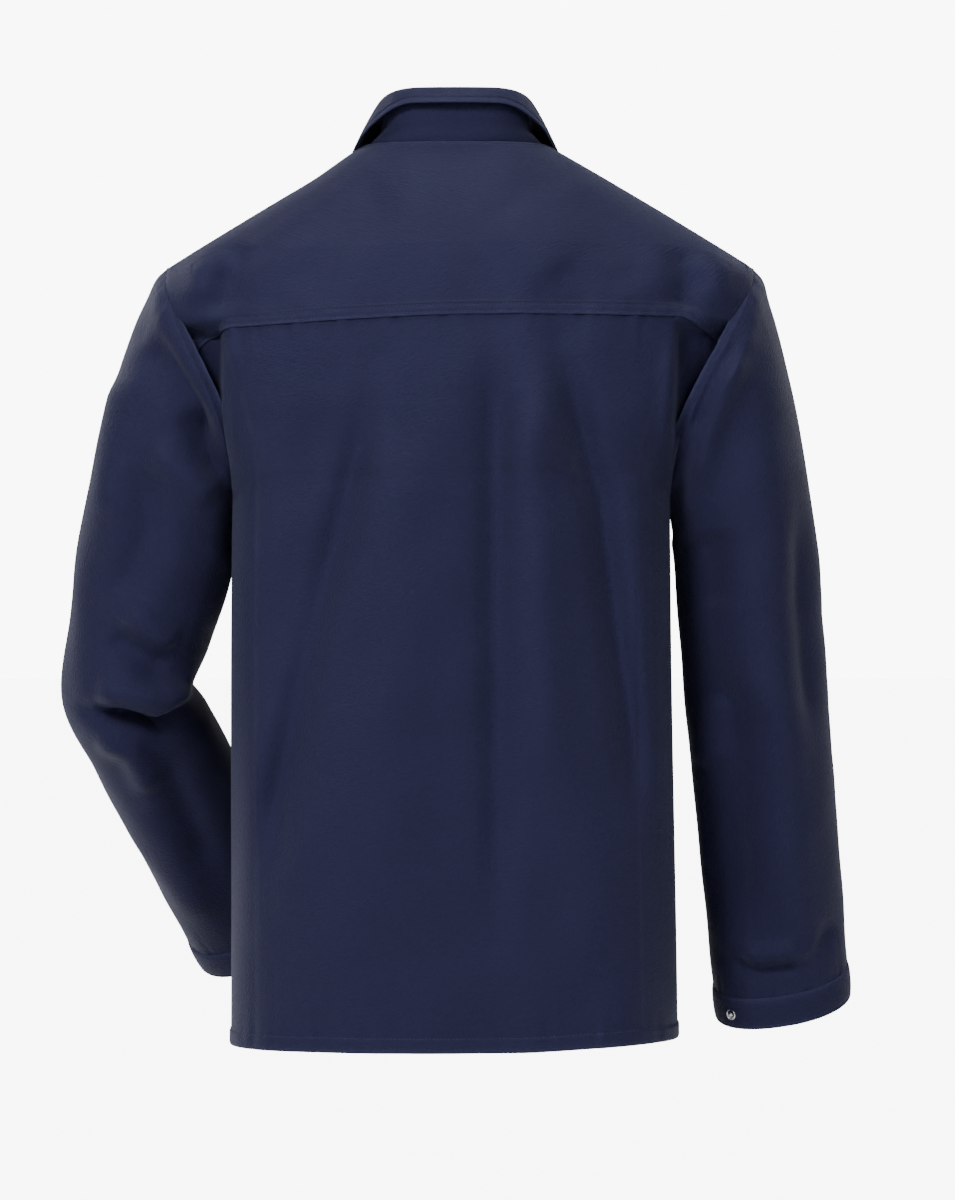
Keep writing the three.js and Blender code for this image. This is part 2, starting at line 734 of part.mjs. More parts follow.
// ------------------------------------------------------------------- cuffs
// The tab lies on the band from its root to its tip, lifted over the stud.
const tabRootPhi = Math.PI * 1.52;
const tabSteps = 8;
const tabLiftShare = 0.6;
const tabStudShare = 0.8;
const openStudPhi = Math.PI * 0.78;
const tabRows = [0.06, 0.94];
for (const [word, cuff] of Object.entries(cuffs)) {
  const meanRadius = (cuff.arm.cuffHalf[0] + cuff.arm.cuffHalf[1]) / 2;
  const tabTipPhi = tabRootPhi - tabLength / meanRadius;
  const studPhi = mix(tabRootPhi, tabTipPhi, tabStudShare);
  const tabBase = cuffThickness / 2 + layGap;
  const tabTop = cuffThickness / 2 + fastenerGap;
  const grid = [];
  const normals = [];
  for (const v of tabRows) {
    const row = steps(tabRootPhi, tabTipPhi, tabSteps).map((phi) => cuff.cuffSpot(phi, v, 0));
    grid.push(row.map((spot) => spot.position));
    normals.push(row.map((spot) => spot.normal));
  }
  const lift = (i, j) => mix(tabBase, tabTop, ease(clamp01(j / (tabSteps * tabLiftShare))));
  const tab = solidBetween(pushed(grid, normals, lift),
    pushed(grid, normals, (i, j) => lift(i, j) + cloth));
  const studSpot = cuff.cuffSpot(studPhi, 0.5, 0);
  const openSpot = cuff.cuffSpot(openStudPhi, 0.5, 0);
  const capSpot = cuff.cuffSpot(studPhi, 0.5, tabTop + cloth / 2);
  const band = tube(cuff.band, cuff.bandNormals, cuffThickness);
  addMesh(`cuff_${word}_band`, pierce(band, [studSpot, openSpot]), colours.navy);
  addMesh(`cuff_${word}_tab`, pierce(tab, [capSpot]), colours.navy);
  addFastener(`cuff_${word}_stud`, studHalf(cuffThickness), studSpot);
  addFastener(`cuff_${word}_open_stud`, studHalf(cuffThickness), openSpot);
  addFastener(`cuff_${word}_cap`, capHalf(cloth), capSpot);
}

export default jacket;
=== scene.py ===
import math
import bpy
import numpy as np
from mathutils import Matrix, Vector


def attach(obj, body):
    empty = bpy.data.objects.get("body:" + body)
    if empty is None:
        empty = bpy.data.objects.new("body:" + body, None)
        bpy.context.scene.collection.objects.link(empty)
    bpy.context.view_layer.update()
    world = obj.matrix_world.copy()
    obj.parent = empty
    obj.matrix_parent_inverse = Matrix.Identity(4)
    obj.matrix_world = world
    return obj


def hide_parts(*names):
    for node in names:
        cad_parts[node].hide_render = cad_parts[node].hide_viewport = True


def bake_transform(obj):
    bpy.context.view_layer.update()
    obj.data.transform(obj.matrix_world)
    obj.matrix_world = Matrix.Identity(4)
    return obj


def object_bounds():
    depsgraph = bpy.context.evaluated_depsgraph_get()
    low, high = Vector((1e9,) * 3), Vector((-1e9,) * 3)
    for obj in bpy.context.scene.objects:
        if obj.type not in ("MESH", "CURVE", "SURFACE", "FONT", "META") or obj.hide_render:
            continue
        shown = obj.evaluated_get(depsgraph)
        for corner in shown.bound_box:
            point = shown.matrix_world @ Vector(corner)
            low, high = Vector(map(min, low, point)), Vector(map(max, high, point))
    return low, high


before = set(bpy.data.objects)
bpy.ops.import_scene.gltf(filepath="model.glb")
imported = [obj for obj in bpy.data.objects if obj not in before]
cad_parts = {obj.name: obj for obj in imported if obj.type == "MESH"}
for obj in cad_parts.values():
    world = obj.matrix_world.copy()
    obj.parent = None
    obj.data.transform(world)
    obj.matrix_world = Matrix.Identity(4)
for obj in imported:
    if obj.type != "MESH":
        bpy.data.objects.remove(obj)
cad_box = [list(corner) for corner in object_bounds()]

# Lengths below are in millimetres and angles in degrees. Meshes are made in metres.
MM = 0.001

# ---------------------------------------------------------------- camera and light
CAMERA_DISTANCE = 5.0
CAMERA_LENS = 173.4
AIM_RIGHT = -0.018
AIM_DOWN = -0.025
FLOOR_DROP = 0.09
ROOM_LIGHT = 0.16
BACKDROP_LIGHT = 9.0
FLOOR_GLOW = 0.9
FLOOR_REACH = 30
LIGHTS_AIM_UP = 0.1
# Each area light: its place, with X and Z from the middle of the object, size and power.
LIGHTS = {
    "key": ((1.7, 3.3, 2.2), 1.0, 262),
    "fill": ((-1.5, 3.6, 1.3), 1.2, 60),
    "top": ((0, 0.3, 2.6), 1.6, 80),
    "front_left": ((2.2, -2.2, 1.2), 1.8, 40),
    "front_right": ((-2.2, -2.4, 1.2), 1.8, 26),
}


def box_middle():
    low, high = np.array(cad_box[0]), np.array(cad_box[1])
    return (low + high) / 2


def add_camera():
    middle = box_middle()
    data = bpy.data.cameras.new("camera")
    data.lens = CAMERA_LENS
    data.sensor_width = 36
    data.clip_end = 60
    camera = bpy.data.objects.new("camera", data)
    camera.location = (middle[0] + AIM_RIGHT, CAMERA_DISTANCE, middle[2] + AIM_DOWN)
    camera.rotation_euler = (math.radians(90), 0, math.radians(180))
    bpy.context.collection.objects.link(camera)
    bpy.context.scene.camera = camera


def add_lights():
    x, _, z = box_middle()
    target = Vector((x, 0, z + LIGHTS_AIM_UP))
    for name, ((right, back, up), size, power) in LIGHTS.items():
        data = bpy.data.lights.new(name, "AREA")
        data.size = size
        data.energy = power
        light = bpy.data.objects.new(name, data)
        light.location = (x + right, back, z + up)
        aim = target - light.location
        light.rotation_euler = aim.to_track_quat("-Z", "Y").to_euler()
        bpy.context.collection.objects.link(light)


def show_camera(tree, lit, seen, share, target):
    """Camera rays take a share of the seen shader, and all other rays the lit one."""
    path = tree.nodes.new("ShaderNodeLightPath")
    factor = tree.nodes.new("ShaderNodeMath")
    factor.operation = "MULTIPLY"
    factor.inputs[1].default_value = share
    mix = tree.nodes.new("ShaderNodeMixShader")
    tree.links.new(path.outputs["Is Camera Ray"], factor.inputs[0])
    tree.links.new(factor.outputs[0], mix.inputs[0])
    tree.links.new(lit.outputs[0], mix.inputs[1])
    tree.links.new(seen.outputs[0], mix.inputs[2])
    tree.links.new(mix.outputs[0], target)


def add_world():
    world = bpy.data.worlds.new("studio")
    world.use_nodes = True
    tree = world.node_tree
    lit = tree.nodes["Background"]
    seen = tree.nodes.new("ShaderNodeBackground")
    for node, strength in ((lit, ROOM_LIGHT), (seen, BACKDROP_LIGHT)):
        node.inputs["Color"].default_value = (1, 1, 1, 1)
        node.inputs["Strength"].default_value = strength
    show_camera(tree, lit, seen, 1, tree.nodes["World Output"].inputs["Surface"])
    bpy.context.scene.world = world


def add_floor():
    z = cad_box[0][2] - FLOOR_DROP
    r = FLOOR_REACH
    mesh = bpy.data.meshes.new("floor")
    mesh.from_pydata([(-r, -r, z), (r, -r, z), (r, r, z), (-r, r, z)], [], [(0, 1, 2, 3)])
    floor = bpy.data.objects.new("floor", mesh)
    bpy.context.collection.objects.link(floor)
    material = bpy.data.materials.new("floor")
    material.use_nodes = True
    tree = material.node_tree
    lit = tree.nodes["Principled BSDF"]
    lit.inputs["Base Color"].default_value = (0.93, 0.93, 0.93, 1)
    lit.inputs["Roughness"].default_value = 0.9
    seen = tree.nodes.new("ShaderNodeEmission")
    seen.inputs["Strength"].default_value = BACKDROP_LIGHT
    show_camera(tree, lit, seen, FLOOR_GLOW, tree.nodes["Material Output"].inputs["Surface"])
    mesh.materials.append(material)


add_camera()
add_lights()
add_world()
add_floor()

# ---------------------------------------------------------------------- materials


class Nodes:
    """Short ways to add shader nodes to one material."""

    def __init__(self, name):
        self.material = bpy.data.materials.new(name)
        self.material.use_nodes = True
        self.tree = self.material.node_tree
        self.shader = self.tree.nodes["Principled BSDF"]

    def add(self, kind, **values):
        node = self.tree.nodes.new(kind)
        for key, value in values.items():
            if hasattr(node, key):
                setattr(node, key, value)
            else:
                node.inputs[key.replace("_", " ")].default_value = value
        return node

    def link(self, source, target):
        self.tree.links.new(source, target)

    def noise(self, coordinates, scale, detail=3.0):
        node = self.add("ShaderNodeTexNoise", Scale=scale, Detail=detail)
        self.link(coordinates, node.inputs["Vector"])
        return node.outputs["Fac"]

    def stretched(self, coordinates, across, along):
        node = self.add("ShaderNodeMapping")
        node.inputs["Scale"].default_value = (across, along, 1)
        self.link(coordinates, node.inputs["Vector"])
        return node.outputs["Vector"]

    def wave(self, coordinates, scale, direction, distortion=0.0):
        node = self.add("ShaderNodeTexWave", Scale=scale, Distortion=distortion)
        node.bands_direction = direction
        self.link(coordinates, node.inputs["Vector"])
        return node.outputs["Fac"]

    def math(self, operation, first, second):
        node = self.add("ShaderNodeMath", operation=operation)
        for socket, value in zip(node.inputs, (first, second)):
            if isinstance(value, (int, float)):
                socket.default_value = value
            else:
                self.link(value, socket)
        return node.outputs[0]

    def mix(self, factor, first, second):
        node = self.add("ShaderNodeMix", data_type="RGBA")
        self.link(factor, node.inputs["Factor"])
        for socket, value in ((node.inputs[6], first), (node.inputs[7], second)):
            if isinstance(value, tuple):
                socket.default_value = (*value, 1)
            else:
                self.link(value, socket)
        return node.outputs[2]

    def bump(self, height, strength, distance, below=None):
        node = self.add("ShaderNodeBump", Strength=strength, Distance=distance)
        self.link(height, node.inputs["Height"])
        if below is not None:
            self.link(below, node.inputs["Normal"])
        return node.outputs["Normal"]


TWILL_PERIOD = 0.0011        # metres between two twill lines
YARN_PERIOD = 0.00055
WAVE_UNIT = 2 * math.pi / 20  # a wave texture of scale 1 repeats after this
CLOTH_SHINE = {
    "Specular IOR Level": 0.10, "Specular Tint": (0.45, 0.50, 1.0, 1),
    "Sheen Weight": 0.06, "Sheen Roughness": 0.45, "Sheen Tint": (0.55, 0.58, 0.85, 1),
}


def cloth_material(name, dark, light, worn):
    """Twill cloth: diagonal weave, yarn slubs, uneven dye and paler worn edges."""
    n = Nodes(name)
    uv = n.add("ShaderNodeUVMap", uv_map="weave").outputs["UV"]
    diagonal = n.wave(uv, 2 * WAVE_UNIT / TWILL_PERIOD, "DIAGONAL", 0.6)
    yarn = n.wave(uv, WAVE_UNIT / YARN_PERIOD, "X", 0.4)
    speckle = n.noise(uv, 900, 2)
    slub = n.noise(uv, 260, 3)
    cloud = n.noise(uv, 7, 4)
    wear = n.add("ShaderNodeAttribute", attribute_name="wear").outputs["Fac"]

    dye = n.mix(n.math("MULTIPLY", cloud, 0.9), dark, light)
    twill = n.math("MULTIPLY", diagonal, 0.22)
    woven = n.mix(twill, dye, light)
    grain = n.noise(uv, 520, 2)
    grained = n.mix(n.math("MULTIPLY", grain, 0.6), woven, dark)
    flecked = n.mix(n.math("MULTIPLY", speckle, 0.5), grained, light)
    streak = n.noise(n.stretched(uv, 3.0, 0.35), 190, 2)
    flecked = n.mix(n.math("MULTIPLY", streak, 0.45), flecked, light)
    edge = n.math("MULTIPLY", wear, n.math("MULTIPLY", slub, 0.7))
    n.link(n.mix(edge, flecked, worn), n.shader.inputs["Base Color"])

    weave = n.math("ADD", n.math("MULTIPLY", diagonal, 0.6), n.math("MULTIPLY", yarn, 0.3))
    fine = n.math("ADD", weave, n.math("MULTIPLY", speckle, 0.9))
    under = n.bump(n.math("ADD", slub, grain), 0.6, 0.0010)
    n.link(n.bump(fine, 0.5, 0.0003, under), n.shader.inputs["Normal"])
    rough = n.math("ADD", n.math("MULTIPLY", slub, 0.16), 0.50)
    n.link(rough, n.shader.inputs["Roughness"])
    for socket, value in CLOTH_SHINE.items():
        n.shader.inputs[socket].default_value = value
    return n.material


def thread_material():
    n = Nodes("thread")
    place = n.add("ShaderNodeTexCoord").outputs["Object"]
    tone = n.noise(place, 420, 2)
    n.link(n.mix(tone, (0.010, 0.011, 0.030), (0.019, 0.021, 0.050)),
           n.shader.inputs["Base Color"])
    n.link(n.bump(n.noise(place, 3000, 1), 0.4, 0.0002), n.shader.inputs["Normal"])
    n.shader.inputs["Roughness"].default_value = 0.6
    n.shader.inputs["Specular IOR Level"].default_value = 0.15
    return n.material


def steel_material():
    n = Nodes("nickel")
    place = n.add("ShaderNodeTexCoord").outputs["Object"]
    grime = n.noise(place, 260, 4)
    scratch = n.noise(place, 1700, 3)
    n.link(n.mix(grime, (0.78, 0.78, 0.79), (0.50, 0.50, 0.51)), n.shader.inputs["Base Color"])
    rough = n.math("ADD", n.math("MULTIPLY", scratch, 0.22), 0.16)
    n.link(rough, n.shader.inputs["Roughness"])
    n.link(n.bump(scratch, 0.15, 0.0001), n.shader.inputs["Normal"])
    n.shader.inputs["Metallic"].default_value = 1
    return n.material


NAVY_DARK = (0.0052, 0.0050, 0.0145)
NAVY = (0.0105, 0.0102, 0.0275)
NAVY_WORN = (0.028, 0.030, 0.066)
CLOTH = cloth_material("navy_twill", NAVY_DARK, NAVY, NAVY_WORN)
INNER = cloth_material("navy_lining", (0.013, 0.014, 0.034), (0.024, 0.026, 0.058), NAVY_WORN)
LABEL = cloth_material("plain_label", (0.42, 0.42, 0.44), (0.60, 0.60, 0.62), (0.7, 0.7, 0.7))
THREAD = thread_material()
NICKEL = steel_material()

# ------------------------------------------------------------------ small helpers


def smooth(low, high, value):
    t = np.clip((value - low) / (high - low), 0, 1)
    return t * t * (3 - 2 * t)


def lerp(a, b, t):
    return a + (b - a) * t


def stack(x, y, z):
    x, y, z = np.broadcast_arrays(x, y, z)
    return np.stack([x, y, z], axis=-1).astype(float)


def unit(v):
    return v / np.maximum(np.linalg.norm(v, axis=-1, keepdims=True), 1e-9)


def spread(start, end, step, fine_start=False, fine_end=False, fine=1.1, margin=16):
    """Values from start to end, closer together within margin of a fine end."""
    length = abs(end - start)
    out = []
    at = 0.0
    while at < length:
        out.append(at)
        near_start = fine_start and at < margin
        near_end = fine_end and length - at < margin + step
        at += fine if near_start or near_end else step
    if length - out[-1] < fine * 0.5:
        out.pop()
    out.append(length)
    return start + np.sign(end - start) * np.array(out)


def path_distance(x, y, path):
    """Distance to a polyline in the plane, and how far along it, from 0 to 1."""
    path = np.array(path, float)
    lengths = np.linalg.norm(np.diff(path, axis=0), axis=1)
    total = lengths.sum()
    best = np.full(np.shape(x), 1e9)
    along = np.zeros(np.shape(x))
    done = 0.0
    for a, b, length in zip(path[:-1], path[1:], lengths):
        d = (b - a) / length
        t = np.clip((x - a[0]) * d[0] + (y - a[1]) * d[1], 0, length)
        gap = np.hypot(x - a[0] - t * d[0], y - a[1] - t * d[1])
        closer = gap < best
        best = np.where(closer, gap, best)
        along = np.where(closer, (done + t) / total, along)
        done += length
    return best, along


def fold_field(x, y, folds):
    """Sum of long soft folds. Each is (height, width, path) and fades at its ends."""
    total = np.zeros(np.broadcast(x, y).shape)
    for height, width, path in folds:
        gap, along = path_distance(x, y, path)
        fade = smooth(0, 0.22, along) * smooth(0, 0.22, 1 - along)
        total = total + height * (0.25 + 0.75 * fade) * np.exp(-(gap / width) ** 2)
    return total


def ripple(x, y, seed, wavelength, height):
    """Gentle unevenness: a few sine waves in seeded directions."""
    rng = np.random.default_rng(seed)
    total = 0
    for _ in range(7):
        turn = rng.uniform(0, 2 * math.pi)
        size = wavelength * rng.uniform(0.6, 1.7)
        phase = rng.uniform(0, 2 * math.pi)
        total = total + np.sin((x * math.cos(turn) + y * math.sin(turn)) * 2 * math.pi / size + phase)
    return total * height / 2.6


def pucker(along, away, seed, reach=14, height=0.5):
    """Small wrinkles across a seam. away is the distance to it."""
    rng = np.random.default_rng(seed)
    total = 0
    for size in (9, 13, 19, 31):
        total = total + np.sin(along * 2 * math.pi / size + rng.uniform(0, 6))
    return total * height * 0.5 * np.exp(-np.abs(away) / reach)


# ------------------------------------------------------------------- mesh making


def grid_normals(points, wrap):
    if wrap:
        across = np.roll(points, -1, axis=1) - np.roll(points, 1, axis=1)
    else:
        across = np.gradient(points, axis=1)
    return unit(np.cross(across, np.gradient(points, axis=0)))


def grid_lengths(points, axis):
    steps = np.linalg.norm(np.diff(points, axis=axis), axis=-1)
    total = np.cumsum(steps, axis=axis)
    pad = [(1, 0) if k == axis else (0, 0) for k in range(2)]
    return np.pad(total, pad)


def edge_gaps(u, v):
    """How far each point of a grid is from each of its four edges."""
    return {"left": u, "right": u[:, -1:] - u, "top": v, "bottom": v[-1:, :] - v}


def shell_grids(points, out, thickness, lift=0.0, wrap=False, hems=(), grooves=()):
    """Outer and inner grids of one cloth layer, raised by lift along its normals.

    hems thicken it along an edge: edge, width, extra thickness. grooves are stitch
    lines that sink into it: edge, distance.
    """
    normals = grid_normals(points, wrap)
    towards = np.sum(normals * out, axis=-1, keepdims=True)
    normals = normals * np.where(np.mean(towards) < 0, -1.0, 1.0)
    u = grid_lengths(points, 1)
    v = grid_lengths(points, 0)
    gaps = edge_gaps(u, v)
    half = np.full(u.shape, thickness / 2.0)
    rise = np.zeros(u.shape) + lift
    for edge, width, extra in hems:
        inside = 1 - smooth(width - 1.2, width + 1.2, gaps[edge])
        half = half + inside * extra / 2
        rise = rise + inside * extra / 2
    for edge, distance in grooves:
        rise = rise - GROOVE_DEPTH * np.exp(-((gaps[edge] - distance) / GROOVE_WIDTH) ** 2)
    for edge in (("top", "bottom") if wrap else gaps):
        half = half * lerp(0.35, 1.0, smooth(-0.6, 1.6, gaps[edge]))
    outer = points + normals * (rise + half)[..., None]
    inner = points + normals * (rise - half)[..., None]
    nearest = np.minimum(gaps["top"], gaps["bottom"])
    if not wrap:
        nearest = np.minimum(nearest, np.minimum(gaps["left"], gaps["right"]))
    wear = np.exp(-nearest / 2.5)
    return {"outer": outer, "inner": inner, "u": u, "v": v, "wear": wear, "wrap": wrap,
            "normals": normals}


def part_of(shell, rows=slice(None), cols=slice(None)):
    """The same cloth with only some of its rows and columns."""
    part = dict(shell)
    for key in ("outer", "inner", "u", "v", "wear", "normals"):
        part[key] = shell[key][rows, cols]
    return part


def add_piece(name, mesh, material):
    mesh.polygons.foreach_set("use_smooth", np.ones(len(mesh.polygons), bool))
    mesh.materials.append(material)
    piece = bpy.data.objects.new(name, mesh)
    bpy.context.collection.objects.link(piece)
    return piece


def shell_mesh(name, shell, material, given_normals=False):
    """A closed piece of cloth: both sides of a shell, joined round its rim."""
    outer, inner = shell["outer"], shell["inner"]
    rows, cols = outer.shape[:2]
    wrap = shell["wrap"]
    index = np.arange(rows * cols).reshape(rows, cols)
    if wrap:
        index = np.hstack([index, index[:, :1]])
    a, b = index[:-1, :-1].ravel(), index[1:, :-1].ravel()
    c, d = index[1:, 1:].ravel(), index[:-1, 1:].ravel()
    count = rows * cols
    faces = [np.stack([a, b, c, d], 1), np.stack([a, d, c, b], 1) + count]
    rims = [(index[0, :-1], index[0, 1:]), (index[-1, 1:], index[-1, :-1])]
    if not wrap:
        rims += [(index[1:, 0], index[:-1, 0]), (index[:-1, -1], index[1:, -1])]
    for p, q in rims:
        faces.append(np.stack([p, q, q + count, p + count], 1))
    faces = np.concatenate(faces)
    points = np.concatenate([outer.reshape(-1, 3), inner.reshape(-1, 3)])
    corner = points[faces]
    volume = np.sum(corner[:, 0] * np.cross(corner[:, 1], corner[:, 2]))
    volume += np.sum(corner[:, 0] * np.cross(corner[:, 2], corner[:, 3]))
    if volume < 0:
        faces = faces[:, ::-1]
    mesh = bpy.data.meshes.new(name)
    mesh.from_pydata(points * MM, [], faces.tolist())
    u, v = shell["u"].ravel() * MM, shell["v"].ravel() * MM
    uv = np.tile(np.stack([u, v], 1), (2, 1))
    layer = mesh.uv_layers.new(name="weave")
    corners = np.zeros(len(mesh.loops), int)
    mesh.loops.foreach_get("vertex_index", corners)
    layer.data.foreach_set("uv", uv[corners].ravel())
    wear = mesh.attributes.new("wear", "FLOAT", "POINT")
    wear.data.foreach_set("value", np.tile(shell["wear"].ravel(), 2).astype(np.float32))
    piece = add_piece(name, mesh, material)
    if given_normals:
        n = shell["normals"].reshape(-1, 3)
        mesh.normals_split_custom_set_from_vertices(np.concatenate([n, -n]).tolist())
    return piece


def plain_mesh(name, points, faces, material):
    mesh = bpy.data.meshes.new(name)
    mesh.from_pydata(np.array(points) * MM, [], faces)
    return add_piece(name, mesh, material)


STITCH_PITCH = 3.3
STITCH_LENGTH = 2.5
STITCH_RADIUS = 0.33


def stitch_row(points, normals):
    """Vertices and faces of a row of stitches that lie along the points."""
    lengths = np.concatenate([[0], np.cumsum(np.linalg.norm(np.diff(points, axis=0), axis=1))])
    count = max(1, int(lengths[-1] / STITCH_PITCH))
    middle = (np.arange(count) + 0.5) * lengths[-1] / count

    def at(s, values):
        return np.stack([np.interp(s, lengths, values[:, k]) for k in range(3)], 1)

    centre = at(middle, points)
    along = unit(at(middle + 1, points) - at(middle - 1, points))
    up = unit(at(middle, normals))
    side = unit(np.cross(along, up))
    ring_at = (-1, -0.7, 0.7, 1)
    ring_size = (0.25, 0.9, 0.9, 0.25)
    ring_sink = (-0.35, 0.1, 0.1, -0.35)
    sides = 6
    verts = []
    for where, size, sink in zip(ring_at, ring_size, ring_sink):
        for k in range(sides):
            turn = 2 * math.pi * k / sides
            verts.append(centre + along * where * STITCH_LENGTH / 2
                         + side * math.cos(turn) * STITCH_RADIUS * size
                         + up * (math.sin(turn) * STITCH_RADIUS * size * 0.8 + sink))
    verts = np.stack(verts, 1)
    quads = []
    for ring in range(len(ring_at) - 1):
        for k in range(sides):
            m = (k + 1) % sides
            quads.append([ring * sides + k, ring * sides + m,
                          (ring + 1) * sides + m, (ring + 1) * sides + k])
    first_cap = list(range(sides))[::-1]
    last = (len(ring_at) - 1) * sides
    last_cap = list(range(last, last + sides))
    per = verts.shape[1]
    faces = []
    for i in range(count):
        for face in [*quads, first_cap, last_cap]:
            faces.append([i * per + k for k in face])
    return verts.reshape(-1, 3), faces


def stitched(name, lines):
    """One piece with every stitch of several lines, each (points, normals)."""
    points, faces, done = [], [], 0
    for line in lines:
        verts, quads = stitch_row(*line)
        points.append(verts)
        faces += [[k + done for k in quad] for quad in quads]
        done += len(verts)
    return plain_mesh(name, np.concatenate(points), faces, THREAD)


def line_at(shell, edge, distance):
    """The stitch line at a distance from one edge of a shell."""
    gap = edge_gaps(shell["u"], shell["v"])[edge]
    points, normals = shell["outer"], shell["normals"]
    if edge in ("top", "bottom"):
        gap, points, normals = gap.T, points.swapaxes(0, 1), normals.swapaxes(0, 1)
    out_points, out_normals = [], []
    for row, p, n in zip(gap, points, normals):
        order = np.argsort(row)
        out_points.append([np.interp(distance, row[order], p[order, k]) for k in range(3)])
        out_normals.append([np.interp(distance, row[order], n[order, k]) for k in range(3)])
    if shell["wrap"] and edge in ("top", "bottom"):
        out_points.append(out_points[0])
        out_normals.append(out_normals[0])
    return np.array(out_points), unit(np.array(out_normals))


def trim(line, start, end):
    """The line without some points at each end."""
    points, normals = line
    stop = len(points) - end
    return points[start:stop], normals[start:stop]


def place(pieces, body, slot):
    """Every piece rides on the body; the slot is not used."""
    for piece in pieces:
        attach(piece, body)


def blend(pieces):
    """Every piece has its world transform baked into its mesh."""
    for piece in pieces:
        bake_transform(piece)


# ---------------------------------------------------------------- body surface
SHOULDER_DROP = 106.0
ARMHOLE_HEIGHT = 194.0
ARMHOLE_TOP = -SHOULDER_DROP
ARMHOLE_BOTTOM = -SHOULDER_DROP - ARMHOLE_HEIGHT
ARMHOLE_MIDDLE = (ARMHOLE_TOP + ARMHOLE_BOTTOM) / 2
NECK_HALF_WIDTH = 78.0
NECK_FRONT_DROP = 70.0
SHOULDER_HALF_WIDTH = 255.0
SHOULDER_SWELL = 2.0
ARMPIT_HALF_WIDTH = 188.0
HEM_HALF_WIDTH = 192.0
NECK_DEPTH = 55.0
HEM_Z = -772.0
REACH = {"back": 85.0, "front": 80.0}
FULLNESS = {"back": (95.0, 103.0), "front": (97.0, 110.0)}
YOKE_Z = -153.0
CLOTH_THICK = 1.3
FOLD_DEPTH = 2.0
GROOVE_DEPTH = 0.8
GROOVE_WIDTH = 0.9
GRID_STEP = 4.5
HEM_TURN = 13
HEM_STITCH = 12.4
LEFT_SHOULDER_IN = 8.0
LEFT_LEAN = 4.0
SECTION_POWER = 2.3
SQUARER = {"back": 0.75, "front": 0.35}


def half_width(z):
    slope = np.clip(z / ARMHOLE_TOP, 0, 1)
    shoulder = lerp(NECK_HALF_WIDTH, SHOULDER_HALF_WIDTH, slope)
    shoulder = shoulder + SHOULDER_SWELL * np.sin(math.pi * slope)
    t = np.clip((ARMHOLE_TOP - z) / ARMHOLE_HEIGHT, 0, 1)
    inward = (1 - np.cos(math.pi * t ** 0.8)) / 2
    armhole = lerp(SHOULDER_HALF_WIDTH, ARMPIT_HALF_WIDTH, inward)
    side = lerp(ARMPIT_HALF_WIDTH, HEM_HALF_WIDTH, (ARMHOLE_BOTTOM - z) / (ARMHOLE_BOTTOM - HEM_Z))
    return np.where(z > ARMHOLE_TOP, shoulder, np.where(z > ARMHOLE_BOTTOM, armhole, side))


def settled(x, z):
    """The wearer's left shoulder slopes a little further in than the right one."""
    over = smooth(0, -35, z) * (1 - smooth(-104, -150, z))
    return x - LEFT_SHOULDER_IN * smooth(20, 90, x) * over


def lean_at(z):
    """How far the body leans to the wearer's left at a height."""
    return LEFT_LEAN * smooth(-150, -330, z) * (1 - 0.7 * smooth(-400, HEM_Z, z))


def section_power(half, z):
    """How square the section is: 2 is an ellipse, and more has fuller corners."""
    return SECTION_POWER + SQUARER[half] * smooth(-110, -240, z)


def armhole_reach(half, z):
    t = (z - ARMHOLE_MIDDLE) / (ARMHOLE_HEIGHT / 2)
    return REACH[half] * np.sqrt(np.maximum(0, 1 - t * t))


def half_depth(half, z):
    fullness, softness = FULLNESS[half]
    return NECK_DEPTH + fullness * (1 - np.exp(z / softness))


# Folds of the back and the front: height, width, and a path of X and Z.
BACK_FOLDS = [
    (-5.5, 14, [(-32, -160), (-36, -245), (-38, -383), (-38, -555), (-36, -680)]),
    (-8.0, 14, [(-88, -172), (-104, -235), (-125, -304), (-136, -391), (-149, -480), (-162, -590)]),
    (-7.0, 15, [(66, -190), (86, -304), (108, -391), (129, -477), (146, -560), (160, -650)]),
    (-4.0, 24, [(106, -210), (120, -330), (150, -460)]),
    (5.0, 22, [(-66, -165), (-72, -300), (-78, -430), (-84, -560)]),
    (4.0, 40, [(30, -200), (40, -380), (60, -560), (70, -700)]),
    (4.5, 20, [(-165, -240), (-168, -420), (-170, -640)]),
    (3.5, 16, [(172, -190), (174, -420), (172, -640)]),
    (-3.0, 26, [(60, -30), (120, -90), (150, -130)]),
    (-3.0, 22, [(-95, -40), (-140, -95), (-160, -130)]),
    (3.0, 26, [(-40, -60), (-90, -120)]),
    (-5.0, 16, [(185, -88), (196, -118), (190, -150)]),
    (-4.5, 15, [(-186, -92), (-196, -120), (-188, -150)]),
    (4.0, 14, [(214, -84), (226, -112), (224, -140)]),
    (3.5, 14, [(-214, -86), (-226, -112), (-222, -140)]),
]
SIDE_CREASES = [
    (5.0, 6, [(190, -165), (188, -210), (187, -270)]),
    (5.0, 7, [(-182, -175), (-181, -210), (-180, -270)]),
]
# Beside each armhole the back drops in behind a crease: side, X of the crease, depth.
HOLLOWS = [(1, 196.0, 24.0), (-1, 186.0, 19.0)]
FRONT_FOLDS = [
    (-6.0, 24, [(52, -190), (60, -330), (66, -520), (72, -690)]),
    (-6.5, 24, [(-54, -190), (-64, -340), (-70, -520), (-76, -690)]),
    (-6.0, 22, [(150, -300), (138, -420), (140, -560)]),
    (-6.0, 22, [(-150, -300), (-140, -420), (-142, -560)]),
    (-5.0, 20, [(60, -95), (120, -150), (170, -190)]),
    (-5.0, 20, [(-60, -95), (-120, -150), (-170, -190)]),
    (3.5, 26, [(100, -380), (104, -520), (106, -640)]),
    (3.5, 26, [(-100, -380), (-104, -520), (-106, -640)]),
]


